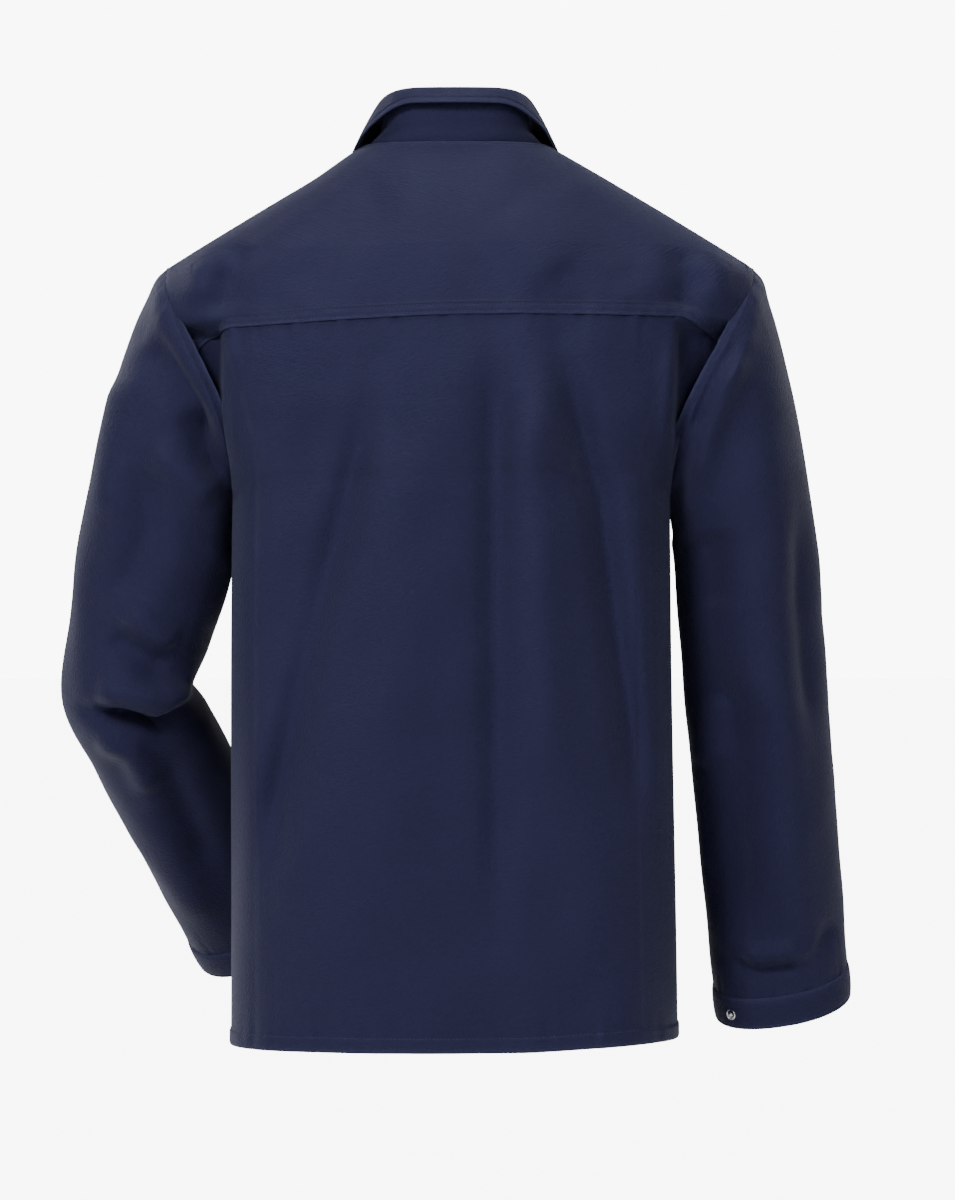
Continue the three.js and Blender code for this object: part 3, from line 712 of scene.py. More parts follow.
def hollow(x, z):
    """How far the back drops in between a side crease and the armhole."""
    wide = half_width(z)
    depth = 0
    for side, edge, deepest in HOLLOWS:
        beyond = smooth(edge - 1, edge + 4, side * x)
        before_seam = 1 - smooth(wide - 6, wide - 0.5, side * x)
        room = smooth(4, 15, wide - edge) * smooth(-150, -168, z)
        depth = depth + deepest * beyond * before_seam * room
    return depth


def body_surface(half, angle, z):
    """A point of the body; angle is radians from the centre line to a side seam."""
    z = np.asarray(z, float)
    power = 2 / section_power(half, z)
    sine, cosine = np.sin(angle), np.maximum(np.cos(angle), 0)
    across = np.sign(sine) * np.abs(sine) ** power
    depth = cosine ** power
    reach = armhole_reach(half, z)
    x = across * half_width(z)
    z = z + 6.0 * smooth(-40, -190, x) * smooth(-500, HEM_Z, z)
    y = half_depth(half, z) * depth + reach * (1 - depth) ** 2.4
    inside = smooth(0, 0.25, cosine)
    if half == "back":
        push = FOLD_DEPTH * fold_field(x, z, BACK_FOLDS) * inside
        push = push + fold_field(x, z, SIDE_CREASES) - hollow(x, z)
        push = push + ripple(x, z, 3, 90, 1.1) * inside
    else:
        push = (fold_field(x, z, FRONT_FOLDS) + ripple(x, z, 5, 100, 0.9)) * inside
    hem_wave = smooth(-560, HEM_Z, z) * 3.0 * np.sin(x / 31.0 + 0.6) * inside
    y = y + push + hem_wave
    return stack(settled(x, z) + lean_at(z), y if half == "back" else -y, z)


def angle_at(x, z, half="front"):
    """The angle at which body_surface gives this X, before it settles and leans."""
    s = np.clip(np.abs(x) / half_width(z), 0, 1)
    return np.sign(x) * np.arcsin(s ** (section_power(half, np.asarray(z, float)) / 2))


def outward(half):
    return np.array([0, 1.0 if half == "back" else -1.0, 0])


# ------------------------------------------------------------------------ the back
YOKE_STITCHES = (2.4, 8.9)
NECK_STITCH = 3.0
PANEL_UNDER_YOKE = 10
# Columns of the back, closer together near the sides, where it creases.
BACK_ANGLES = np.radians(np.sort(np.concatenate([
    np.linspace(-90, 90, 151), np.linspace(62, 84, 40), np.linspace(-84, -62, 40)])))
BACK_ANGLES = np.unique(np.round(BACK_ANGLES, 5))


def yoke_seam(x):
    """The height of the yoke's lower edge."""
    drop = 20 * np.maximum(0, (np.abs(x) - 185) / 38) ** 2
    return YOKE_Z - 0.026 * x - drop + 2.5 * np.cos(x / 70)


def back_grid(top, bottom, length):
    """A grid of the back with rows from the top heights to the bottom heights."""
    z = lerp(top, bottom, fractions(length)[:, None])
    return body_surface("back", np.broadcast_to(BACK_ANGLES[None, :], z.shape), z)


def seam_height(angle):
    """The height where a column meets the yoke seam."""
    z = np.full(np.shape(angle), YOKE_Z)
    for _ in range(6):
        z = yoke_seam(body_surface("back", angle, z)[..., 0])
    return z


def fractions(length):
    """From 0 to 1 along a length, closer together near both ends."""
    return spread(0, length, GRID_STEP, True, True) / length


def add_back():
    seam = seam_height(BACK_ANGLES)[None, :]
    level = np.zeros(seam.shape)
    yoke_points = back_grid(level, seam, 150)
    gap = np.abs(seam - yoke_points[..., 2])
    wrinkle = pucker(yoke_points[..., 0], gap, 11, 14, 0.8) * smooth(0, 6, gap)
    yoke_points[..., 1] += wrinkle
    grooves = [*(("bottom", gap) for gap in YOKE_STITCHES), ("top", NECK_STITCH)]
    yoke = shell_grids(yoke_points, outward("back"), CLOTH_THICK, 1.5,
                       hems=[("bottom", 11, 0.9)], grooves=grooves)
    yoke_piece = shell_mesh("yoke", yoke, CLOTH)

    panel_points = back_grid(seam + PANEL_UNDER_YOKE, level + HEM_Z, 640)
    below = np.maximum(0, seam - panel_points[..., 2])
    panel_points[..., 1] += pucker(panel_points[..., 0], below, 12, 18, 1.0)
    above = panel_points[..., 2] - HEM_Z
    panel_points[..., 1] += pucker(panel_points[..., 0], above - HEM_TURN, 13, 14, 0.8)
    panel = shell_grids(panel_points, outward("back"), CLOTH_THICK, 0,
                        hems=[("bottom", HEM_TURN, 1.3)], grooves=[("bottom", HEM_STITCH)])
    panel_piece = shell_mesh("back_cloth", panel, CLOTH)

    lines = [trim(line_at(yoke, "bottom", gap), 3, 3) for gap in YOKE_STITCHES]
    lines += [line_at(yoke, "top", NECK_STITCH), line_at(panel, "bottom", HEM_STITCH)]
    thread = stitched("back_stitches", lines)

    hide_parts("back_yoke")
    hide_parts("back_panel")
    place((yoke_piece, panel_piece, thread), "torso", "cloth")


add_back()

# ------------------------------------------------------------------------- sleeves
ARMS = {
    "left": {
        "side": 1, "upper": (260, -14, -350), "elbow": (286, -30, -470),
        "cuff": (179, -184, -694), "upper_half": (68, 74), "elbow_half": (57, 64),
        "cuff_half": (55, 45), "droop": 0, "tilt": 0,
    },
    "right": {
        "side": -1, "upper": (251, -14, -350), "elbow": (261, -24, -475),
        "cuff": (286, -58, -745), "upper_half": (62, 74), "elbow_half": (62, 64),
        "cuff_half": (58, 45), "droop": 10, "tilt": 5,
    },
}
CAP_BULGE = np.array([283.0, 0, -135])
RING_POWER = 0.92
SLEEVE_OFF = 0.8
SLEEVE_STEP = 4.0
TUCKS = (8.0, 4.0, 1.0)
SPLIT_ABOVE_ELBOW = 60
NEAR_ELBOW = 52.0
CUFF_DEPTH = 24.0
CUFF_THICK = 2.2
CUFF_ROWS = 22
CUFF_LAP = 0.14
AROUND = 132
PHI = np.arange(AROUND) * 2 * math.pi / AROUND


def armhole_loop(phi, side):
    z = ARMHOLE_MIDDLE + ARMHOLE_HEIGHT / 2 * np.cos(phi)
    reach = np.where(np.sin(phi) > 0, REACH["back"], REACH["front"])
    x = half_width(z)
    if side > 0:
        x = settled(x, z)
    return stack(x + SLEEVE_OFF + side * lean_at(z), reach * np.sin(phi), z)


def ring_axes(direction):
    out = unit(np.array([-direction[2], 0, direction[0]]))
    return out, np.cross(out, direction)


def ring(centre, direction, half, phi):
    out, back = ring_axes(direction)
    c = np.sign(np.cos(phi)) * np.abs(np.cos(phi)) ** RING_POWER
    s = np.sign(np.sin(phi)) * np.abs(np.sin(phi)) ** RING_POWER
    return centre + c[:, None] * out * half[0] + s[:, None] * back * half[1]


def cuff_slant(arm, phi):
    """How far each side of the cuff hangs below or above the mean."""
    return arm["droop"] * np.sin(phi) - arm["tilt"] * np.cos(phi)


def key_rings(arm, phi):
    """Rings down a sleeve, with how far along the arm each one is."""
    upper, elbow, cuff = (np.array(arm[k], float) for k in ("upper", "elbow", "cuff"))
    down, fore = unit(elbow - upper), unit(cuff - elbow)
    bisector = unit(down + fore)
    u_half, e_half, c_half = (np.array(arm[k], float)
                              for k in ("upper_half", "elbow_half", "cuff_half"))
    first, end = armhole_loop(phi, arm["side"]), ring(upper, down, u_half, phi)
    rings = []
    for t in (0, 0.12, 0.3, 0.6, 1):
        bulge = (CAP_BULGE - (first[0] + end[0]) / 2) * 2 * t * (1 - t)
        rings.append(lerp(first, end, t) + bulge * ((1 + np.cos(phi)) / 2)[:, None])
    near = elbow - down * NEAR_ELBOW
    rings.append(ring(near, down, lerp(u_half, e_half, 0.65), phi))
    rings.append(ring(elbow, bisector, e_half, phi))
    length = np.linalg.norm(cuff - elbow)
    middle = (NEAR_ELBOW + length - CUFF_DEPTH) / 2
    for along in (NEAR_ELBOW, middle, length - CUFF_DEPTH, length):
        half = lerp(e_half, c_half, along / length)
        rings.append(ring(elbow + fore * along, fore, half, phi))
    for share, k in ((0.5, -3), (1, -2), (1, -1)):
        rings[k] = rings[k] + share * cuff_slant(arm, phi)[:, None] * fore
    rings = np.array(rings)
    centres = rings.mean(axis=1)
    places = np.concatenate([[0], np.cumsum(np.linalg.norm(np.diff(centres, axis=0), axis=1))])
    return rings, places


def through(rings, places, at):
    """Smooth rings at the asked places, through all the given ones."""
    slopes = np.gradient(rings, places, axis=0)
    k = np.clip(np.searchsorted(places, at, side="right") - 1, 0, len(places) - 2)
    gap = (places[k + 1] - places[k])[:, None, None]
    t = ((at - places[k]) / (places[k + 1] - places[k]))[:, None, None]
    a, b = rings[k], rings[k + 1]
    ta, tb = slopes[k] * gap, slopes[k + 1] * gap
    return ((2 * t ** 3 - 3 * t ** 2 + 1) * a + (t ** 3 - 2 * t ** 2 + t) * ta
            + (3 * t ** 2 - 2 * t ** 3) * b + (t ** 3 - t ** 2) * tb)


# Folds of a sleeve as seen from behind, in X and Z, X counted away from the body.
SLEEVE_FOLDS = {
    "left": [
        (-9.0, 13, [(272, -165), (248, -194), (218, -232), (196, -268)]),
        (6.0, 10, [(262, -176), (240, -208), (212, -246)]),
        (5.0, 14, [(262, -262), (236, -282), (204, -304)]),
        (-7.0, 14, [(230, -225), (212, -262), (196, -290)]),
        (-5.5, 18, [(266, -272), (264, -330), (278, -366), (300, -392)]),
        (5.0, 12, [(284, -398), (262, -414), (240, -430)]),
        (-4.0, 12, [(300, -420), (268, -440), (244, -452)]),
        (8.0, 15, [(312, -470), (284, -470), (256, -476), (232, -462)]),
        (-11.0, 7, [(316, -487), (284, -492), (256, -501), (228, -478)]),
        (5.0, 12, [(312, -506), (280, -520), (262, -560)]),
        (-4.0, 16, [(250, -520), (236, -570), (214, -630)]),
        (3.5, 18, [(282, -560), (250, -620), (216, -680)]),
        (5.0, 18, [(284, -190), (292, -260), (296, -330)]),
    ],
    "right": [
        (-6.0, 10, [(236, -160), (218, -186), (205, -218), (196, -252)]),
        (5.0, 12, [(246, -176), (228, -208), (214, -250), (206, -300)]),
        (5.0, 30, [(262, -230), (258, -380), (262, -520)]),
        (-7.0, 24, [(212, -430), (232, -490), (236, -600), (244, -690)]),
        (5.0, 24, [(276, -430), (284, -560), (292, -690)]),
        (-4.0, 13, [(296, -300), (300, -420), (306, -520)]),
        (4.0, 16, [(222, -470), (216, -540)]),
        (3.5, 10, [(240, -694), (262, -702), (296, -694), (320, -680)]),
        (-4.0, 8, [(236, -706), (262, -714), (300, -706)]),
        (-3.0, 10, [(330, -672), (312, -690), (290, -684)]),
        (-4.0, 20, [(214, -330), (222, -400)]),
    ],
}
SLEEVE_FRONT_FOLDS = {
    "left": [
        (-10.0, 13, [(300, -455), (262, -462), (232, -480)]),
        (-7.0, 14, [(312, -478), (270, -500), (238, -520)]),
        (-6.0, 14, [(290, -410), (250, -425), (226, -445)]),
        (7.0, 12, [(300, -468), (262, -480), (236, -500)]),
        (-6.0, 16, [(240, -170), (222, -220), (204, -270)]),
        (-5.0, 20, [(276, -200), (270, -320), (262, -390)]),
    ],
    "right": [
        (-6.0, 16, [(240, -170), (222, -220), (204, -270)]),
        (-5.0, 22, [(272, -200), (262, -320), (256, -420)]),
        (-6.0, 18, [(296, -430), (254, -455), (216, -470)]),
        (-5.0, 22, [(252, -500), (268, -600), (280, -690)]),
    ],
}


def sleeve_surface(word):
    """The sleeve's cloth down to its cuff, as if on the wearer's left, with its rings."""
    arm = ARMS[word]
    rings, places = key_rings(arm, PHI)
    end = places[-1] - CUFF_DEPTH
    at = np.concatenate([spread(0, end, SLEEVE_STEP, True, True), [places[-1]]])
    points = through(rings, places, at)
    body = points[:-1]
    normals = grid_normals(body, True)
    middle = body.mean(axis=1, keepdims=True)
    if np.mean(np.sum(normals * (body - middle), axis=-1)) < 0:
        normals = -normals
    x, z = body[..., 0], body[..., 2]
    facing = normals[..., 1]
    push = FOLD_DEPTH * fold_field(x, z, SLEEVE_FOLDS[word]) * smooth(0.0, 0.45, facing)
    push = push + fold_field(x, z, SLEEVE_FRONT_FOLDS[word]) * smooth(0.0, 0.45, -facing)
    s = at[:-1, None]
    seed = 21 if word == "left" else 22
    phi = PHI[None, :]
    push = push + ripple(phi * 62, s, seed, 70, 1.0) * np.cos((phi - 1.5) / 2) ** 2
    push = push * smooth(0, 16, s) * (1 - smooth(end - 16, end, s) * 0.9)
    swell = 2.2 * np.exp(-((s - 9) / 9) ** 2)
    cinch = pucker(phi * 62, s, seed + 4, 12, 0.5)
    cinch = cinch + pucker(phi * 55, end - s, seed + 8, 12, 0.6)
    body = body + normals * (push + swell + cinch)[..., None]
    tucks = []
    for inward in TUCKS:
        under = body[0] - np.array([inward, 0, 0])
        under[:, 1] *= 1 - 0.035 * min(1.0, inward / 3)
        under[:, 2] = ARMHOLE_MIDDLE + (under[:, 2] - ARMHOLE_MIDDLE) * (1 - 0.004 * inward)
        tucks.append(under)
    body = np.concatenate([np.array(tucks), body])
    at = np.concatenate([-np.array(TUCKS), at[:-1]])
    return body, at, rings, places


def mirror(points, side):
    return points * np.array([side, 1, 1])


def add_sleeve(word):
    side = ARMS[word]["side"]
    body, at, rings, places = sleeve_surface(word)
    points = mirror(body, side)
    centre = points.mean(axis=1, keepdims=True)
    shell = shell_grids(points, points - centre, CLOTH_THICK, 0, wrap=True,
                        hems=[("top", 9, 1.0)])
    elbow_at = places[6]
    split = int(np.searchsorted(at, elbow_at - SPLIT_ABOVE_ELBOW))
    above_split, below_split = slice(0, split + 1), slice(split, len(at))
    upper = shell_mesh(f"upper_sleeve_{word}", part_of(shell, above_split), CLOTH, True)
    lower = shell_mesh(f"lower_sleeve_{word}", part_of(shell, below_split), CLOTH, True)

    shares = np.linspace(-CUFF_LAP, 1, CUFF_ROWS)
    band_points = mirror(np.array([lerp(rings[-2], rings[-1], t) for t in shares]), side)
    band_middle = band_points.mean(axis=1, keepdims=True)
    bow = 0.8 * np.sin(np.linspace(0, math.pi, CUFF_ROWS))[:, None, None]
    band_points = band_points + unit(band_points - band_middle) * (bow + 0.9)
    stitches = [("top", 1.8), ("bottom", 2.6)]
    band = shell_grids(band_points, band_points - band_middle, CUFF_THICK, 0, wrap=True,
                       grooves=stitches)
    cuff = shell_mesh(f"cuff_{word}", band, CLOTH)
    threads = stitched(f"cuff_stitches_{word}", [line_at(band, *at) for at in stitches])
    top_thread = stitched(f"cuff_seam_{word}", [line_at(shell, "bottom", 1.6)])

    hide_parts(f"sleeve_{word}_upper")
    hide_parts(f"sleeve_{word}_lower")
    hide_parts(f"cuff_{word}_band")
    blend([upper])
    blend([lower])
    place((cuff, threads, top_thread), f"forearm_{word}", "cloth")


for word in ARMS:
    add_sleeve(word)

# -------------------------------------------------------------------------- fronts
FRONT_OVERLAP = 44.0
FOLD_NECK_X = 27.0
FOLD_HEM_X = 100.0
FASTENER_GAP = 4.2
CLOTH_CAD = 1.6
EDGE_RISE = (FASTENER_GAP + CLOTH_CAD) / 2
FRONT_FASTENERS = [-122.0 - 146 * i for i in range(5)]
EDGE_STITCHES = (4.0, 37.0)
EDGE_HINGE_ENDS = (-110, -770)


def fold_x(z):
    return lerp(FOLD_NECK_X, FOLD_HEM_X, (z + NECK_FRONT_DROP) / (HEM_Z + NECK_FRONT_DROP))


def front_angles(column, z):
    """Column below 0 is the lap, from 0 (fold line) to -1; above 0 the panel, to 1."""
    fold = fold_x(z)
    on_panel = lerp(angle_at(fold, z), math.pi / 2, np.maximum(column, 0))
    lap_x = lerp(fold, -FRONT_OVERLAP / 2, np.maximum(-column, 0))
    return np.where(column >= 0, on_panel, angle_at(lap_x, z))


def neckline_height(column):
    """The height at which each column of the front meets the neckline, by halving."""
    low, high = np.full(column.shape, -NECK_FRONT_DROP), np.zeros(column.shape)
    for _ in range(30):
        z = (low + high) / 2
        share = np.abs(np.sin(front_angles(column, z))) ** (2 / SECTION_POWER)
        x = share * half_width(z)
        edge = NECK_HALF_WIDTH * np.sqrt(np.maximum(0, 1 - (z / NECK_FRONT_DROP) ** 2))
        above = edge > x
        high = np.where(above, z, high)
        low = np.where(above, low, z)
    return np.where(column >= 1, 0.0, (low + high) / 2)


def add_front(word, side, rise):
    lap = spread(-1, 0, 0.045, True, False, 0.012, 0.12)
    panel = spread(0, 1, 0.022, False, True, 0.007, 0.06)
    columns = np.concatenate([lap, panel[1:]])
    fold_index = len(lap) - 1
    top = neckline_height(columns)[None, :]
    z = lerp(top, HEM_Z, fractions(-HEM_Z)[:, None])
    column = np.broadcast_to(columns[None, :], z.shape)
    points = body_surface("front", side * front_angles(column, z), z)
    normals = grid_normals(points, False)
    normals = normals * np.where(normals[..., 1].mean() > 0, -1.0, 1.0)
    ease = smooth(0, 0.7, -column)
    points = points + normals * (rise * ease)[..., None]
    above = points[..., 2] - HEM_Z
    wrinkle = pucker(points[..., 0], above - HEM_TURN, 31 + side, 12, 0.4)
    points[..., 1] -= wrinkle * (1 - ease)
    grooves = [("bottom", HEM_STITCH), *(("left", gap) for gap in EDGE_STITCHES)]
    shell = shell_grids(points, outward("front"), CLOTH_THICK, 0,
                        hems=[("bottom", HEM_TURN, 1.0), ("left", 36, 0.5)], grooves=grooves)
    edge = part_of(shell, cols=slice(0, fold_index + 1))
    cloth = part_of(shell, cols=slice(fold_index, len(columns)))
    edge_piece = shell_mesh(f"edge_{word}", edge, CLOTH, True)
    cloth_piece = shell_mesh(f"front_{word}_cloth", cloth, CLOTH, True)
    lines = [line_at(shell, "left", gap) for gap in EDGE_STITCHES] if side > 0 else []
    lines.append(line_at(edge, "bottom", HEM_STITCH))
    edge_thread = stitched(f"edge_{word}_stitches", lines)
    hem_thread = stitched(f"front_{word}_stitches", [line_at(cloth, "bottom", HEM_STITCH)])

    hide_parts(f"front_{word}_edge")
    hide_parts(f"front_{word}_panel")
    high, low = (body_surface("front", side * angle_at(fold_x(z), z), z)
                 for z in EDGE_HINGE_ENDS)
    blend((edge_piece, edge_thread))
    place((cloth_piece, hem_thread), "torso", "cloth")


add_front("left", 1, EDGE_RISE)
add_front("right", -1, -EDGE_RISE)

# ----------------------------------------------------------------- press fasteners
CAP_RADIUS = 6.0
SOCKET_RADIUS = 5.0
BALL_RADIUS = 2.0
POST_RADIUS = 1.7
FLANGE_GAP = 0.5
FLANGE_THICK = 0.8
ROUND_PARTS = 40


def cap_profile(thickness):
    outside = thickness / 2 + 0.15
    inside = -thickness / 2 - FLANGE_GAP
    low = -thickness / 2 - FASTENER_GAP / 2
    return [
        (0, outside + 1.7), (CAP_RADIUS * 0.45, outside + 1.62),
        (CAP_RADIUS * 0.75, outside + 1.4), (CAP_RADIUS - 0.5, outside + 1.0),
        (CAP_RADIUS - 0.08, outside + 0.5), (CAP_RADIUS, outside),
        (POST_RADIUS, outside), (POST_RADIUS, inside),
        (SOCKET_RADIUS - 0.2, inside), (SOCKET_RADIUS, inside - 0.3),
        (SOCKET_RADIUS, low + 0.2), (SOCKET_RADIUS - 0.25, low),
        (BALL_RADIUS + 1.4, low), (BALL_RADIUS + 1.1, low + 0.3),
        (BALL_RADIUS + 0.5, low + 0.3), (BALL_RADIUS + 0.35, low + 0.6),
        (BALL_RADIUS + 0.35, inside - FLANGE_THICK), (0, inside - FLANGE_THICK),
    ]


def stud_profile(thickness):
    outside = thickness / 2 + 0.15
    inside = -thickness / 2 - 0.2
    top = thickness / 2 + FASTENER_GAP - FLANGE_GAP - FLANGE_THICK - 0.35
    return [
        (0, top), (BALL_RADIUS * 0.6, top - 0.05), (BALL_RADIUS * 0.95, top - 0.4),
        (BALL_RADIUS, top - 0.8), (POST_RADIUS, top - 1.4), (POST_RADIUS, outside + 0.9),
        (POST_RADIUS + 0.6, outside + 0.6), (SOCKET_RADIUS - 1.4, outside + 0.6),
        (SOCKET_RADIUS - 1.0, outside + 1.0), (SOCKET_RADIUS - 0.4, outside + 0.95),
        (SOCKET_RADIUS, outside + 0.5), (SOCKET_RADIUS, outside),
        (POST_RADIUS, outside), (POST_RADIUS, inside),
        (SOCKET_RADIUS - 0.6, inside), (SOCKET_RADIUS - 0.6, inside - FLANGE_THICK),
        (0, inside - FLANGE_THICK),
    ]


def add_fastener(name, node, profile, spot, normal, body):
    """A turned metal piece; profile is radius and height, from its top to its bottom."""
    up = unit(normal)
    side = unit(np.cross(up, np.array([0.3, 0.2, 0.9])))
    other = np.cross(up, side)
    turns = np.arange(ROUND_PARTS) * 2 * math.pi / ROUND_PARTS
    points = []
    for radius, height in profile[1:-1]:
        around = np.cos(turns)[:, None] * side + np.sin(turns)[:, None] * other
        points.append(spot + around * radius + up * height)
    points = np.concatenate(points)
    rings = len(profile) - 2
    ends = [spot + up * profile[0][1], spot + up * profile[-1][1]]
    points = np.concatenate([points, ends])
    faces = []
    for i in range(rings - 1):
        for k in range(ROUND_PARTS):
            m = (k + 1) % ROUND_PARTS
            faces.append([i * ROUND_PARTS + k, (i + 1) * ROUND_PARTS + k,
                          (i + 1) * ROUND_PARTS + m, i * ROUND_PARTS + m])
    last = (rings - 1) * ROUND_PARTS
    for k in range(ROUND_PARTS):
        m = (k + 1) % ROUND_PARTS
        faces.append([rings * ROUND_PARTS, k, m])
        faces.append([rings * ROUND_PARTS + 1, last + m, last + k])
    piece = plain_mesh(name, points, faces, NICKEL)
    piece.data.set_sharp_from_angle(angle=math.radians(38))
    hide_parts(node)
    place([piece], body, "press_fastener")


def front_spot(x, z, lift):
    """A point on the front cloth and its outward normal."""
    step = 1.5

    def at(dx, dz):
        return body_surface("front", angle_at(x + dx, z + dz), z + dz)

    across, along = at(step, 0) - at(-step, 0), at(0, step) - at(0, -step)
    normal = unit(np.cross(across, along))
    if normal[1] > 0:
        normal = -normal
    return at(0, 0) + normal * lift, normal


for index, height in enumerate(FRONT_FASTENERS, 1):
    spot, normal = front_spot(0.0, height, EDGE_RISE)
    add_fastener(f"cap_{index}", f"front_cap_{index}", cap_profile(CLOTH_CAD), spot, normal,
                 "front_left")
    spot, normal = front_spot(0.0, height, -EDGE_RISE)
    add_fastener(f"stud_{index}", f"front_stud_{index}", stud_profile(CLOTH_CAD), spot, normal,
                 "front_right")

# ------------------------------------------------------------------------- pockets
LAY_GAP = 0.75
PATCH_STEP = 3.0
POCKET_ROOM = 2.2
PATCH_LOW = CLOTH_CAD / 2 + LAY_GAP
POCKET_HIGH = PATCH_LOW + POCKET_ROOM + CLOTH_CAD
FLAP_AT_FASTENER = POCKET_HIGH + FASTENER_GAP
# Near X, far X, top Z and bottom Z of each patch.
CHEST_POCKET = (64, 166, -224, -350)
CHEST_FLAP = (60, 170, -208, -262)
HIP_POCKET = (110, 178, -545, -715)
INNER_POCKET = (72, 156, -380, -520)
CHEST_FASTENER = (115.0, -250.0)
POCKET_STITCHES = {"left": 2.2, "right": 2.2, "bottom": 2.2, "top": 15}
FLAP_STITCHES = {"left": 3, "right": 3, "bottom": 3}


def patch(side, box, lift):
    """A patch over part of the front, lifted off it along its normals."""
    near, far, top, bottom = box
    xs = spread(near, far, PATCH_STEP, True, True, 1.0, 5)
    zs = spread(top, bottom, PATCH_STEP, True, True, 1.0, 5)
    x, z = np.meshgrid(xs, zs)
    points = body_surface("front", side * angle_at(x, z), z)
    normals = grid_normals(points, False)
    normals = normals * np.where(normals[..., 1].mean() > 0, -1.0, 1.0)
    from_side = np.minimum(x - near, far - x)
    return points + normals * lift(from_side, top - z, z - bottom)[..., None]


def pocket_lift(box, direction=1):
    """A pocket bellies out from its sewn edges; direction -1 is inside the jacket."""
    width = box[1] - box[0]

    def lift(from_side, from_top, from_bottom):
        share = np.minimum(1, np.minimum(from_side / (width / 7 * 2), from_bottom / 25))
        centre = PATCH_LOW + POCKET_ROOM * share + CLOTH_CAD / 2
        wave = 0.35 * np.sin(from_side / 9) * np.sin(from_bottom / 23)
        return direction * (centre + wave * share)
    return lift


def flap_lift(from_side, from_top, from_bottom):
    rise = np.clip(from_top / 17.0, 0, 1)
    return lerp(PATCH_LOW, FLAP_AT_FASTENER, rise) + CLOTH_CAD / 2


def add_patch(name, node, body, side, box, lift, edges, material=CLOTH, slot="cloth"):
    """A sewn patch with a stitch line along each of its edges."""
    shell = shell_grids(patch(side, box, lift), outward("front"), CLOTH_THICK, 0,
                        hems=[("top", 15, 0.5)] if "top" in edges else (),
                        grooves=list(edges.items()))
    piece = shell_mesh(name, shell, material)
    lines = [trim(line_at(shell, edge, gap), 1, 1) for edge, gap in edges.items()]
    thread = stitched(f"{name}_stitches", lines)
    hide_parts(node)
    place((piece, thread), body, slot)


def add_chest_fastener(word, side):
    x, z = CHEST_FASTENER
    spot, normal = front_spot(side * x, z, POCKET_HIGH - CLOTH_CAD / 2)
    add_fastener(f"pocket_stud_{word}", f"chest_stud_{word}", stud_profile(CLOTH_CAD), spot,
                 normal, "torso")
    spot, normal = front_spot(side * x, z, FLAP_AT_FASTENER + CLOTH_CAD / 2)
    add_fastener(f"pocket_cap_{word}", f"chest_cap_{word}", cap_profile(CLOTH_CAD), spot,
                 normal, f"chest_flap_{word}_body")


for word, side in (("left", 1), ("right", -1)):
    add_patch(f"pocket_{word}", f"chest_pocket_{word}", "torso", side, CHEST_POCKET,
              pocket_lift(CHEST_POCKET), POCKET_STITCHES)
    add_patch(f"flap_{word}", f"chest_flap_{word}", f"chest_flap_{word}_body", side,
              CHEST_FLAP, flap_lift, FLAP_STITCHES)
    add_patch(f"low_pocket_{word}", f"hip_pocket_{word}", "torso", side, HIP_POCKET,
              pocket_lift(HIP_POCKET), POCKET_STITCHES)
    add_chest_fastener(word, side)

add_patch("inside_pocket", "inner_pocket", "torso", 1, INNER_POCKET,
          pocket_lift(INNER_POCKET, -1), POCKET_STITCHES, INNER, "inner_cloth")

# -------------------------------------------------------------------------- collar
STAND_HEIGHT = 45.0
STAND_LEAN = 0.2
STAND_SEAT = -5.0
STAND_STITCHES = (("top", 2.6), ("bottom", 8.5))
FALL_STITCH = 5.0
COLLAR_THICK = CLOTH_THICK + 0.5
FALL_BACK_WIDTH = 18.0
FALL_FRONT_WIDTH = 66.0
COLLAR_TURN = 1 + math.acos((FOLD_NECK_X + 6) / NECK_HALF_WIDTH) / (math.pi / 2)
TURNS = np.linspace(-COLLAR_TURN, COLLAR_TURN, 181)


def neck_seam(turn):
    """A point of the neckline: turn is 0 mid back and 1 at a shoulder, left positive."""
    side = np.where(turn < 0, -1.0, 1.0)
    t = np.abs(turn)
    swing = np.maximum(t - 1, 0) * math.pi / 2
    x, z = NECK_HALF_WIDTH * np.cos(swing), -NECK_FRONT_DROP * np.sin(swing)
    power = 2 / SECTION_POWER
    back_x = np.sin(np.minimum(t, 1) * math.pi / 2) ** power * NECK_HALF_WIDTH
    back_y = NECK_DEPTH * np.maximum(np.cos(np.minimum(t, 1) * math.pi / 2), 0) ** power
    front = body_surface("front", angle_at(x, z), z)
    return np.where((t <= 1)[..., None], stack(side * back_x, back_y, 0 * t),
                    stack(side * x, front[..., 1], z))


def neck_outward(turn):
    p = neck_seam(turn)
    return unit(stack(p[..., 0] / NECK_HALF_WIDTH ** 2, (p[..., 1] + 12) / 70 ** 2, 0))


def stand_point(turn, height):
    """A point of the collar's stand, height from 0 at the seam to 1 at the fold."""
    rise = lerp(STAND_HEIGHT, STAND_HEIGHT * 0.7, smooth(0.25, 1.4, np.abs(turn)))
    up = STAND_SEAT + height * (rise - STAND_SEAT)
    point = neck_seam(turn) + stack(0 * up, 0, up)
    narrow = 11.0 * smooth(0.25, 1.0, np.abs(turn)) * smooth(-2, 14, up)
    inside = np.maximum(STAND_LEAN * up, 0) + 2.0 * (1 - smooth(0, 8, up)) + 0.4 + narrow
    return point - neck_outward(turn) * inside[..., None]


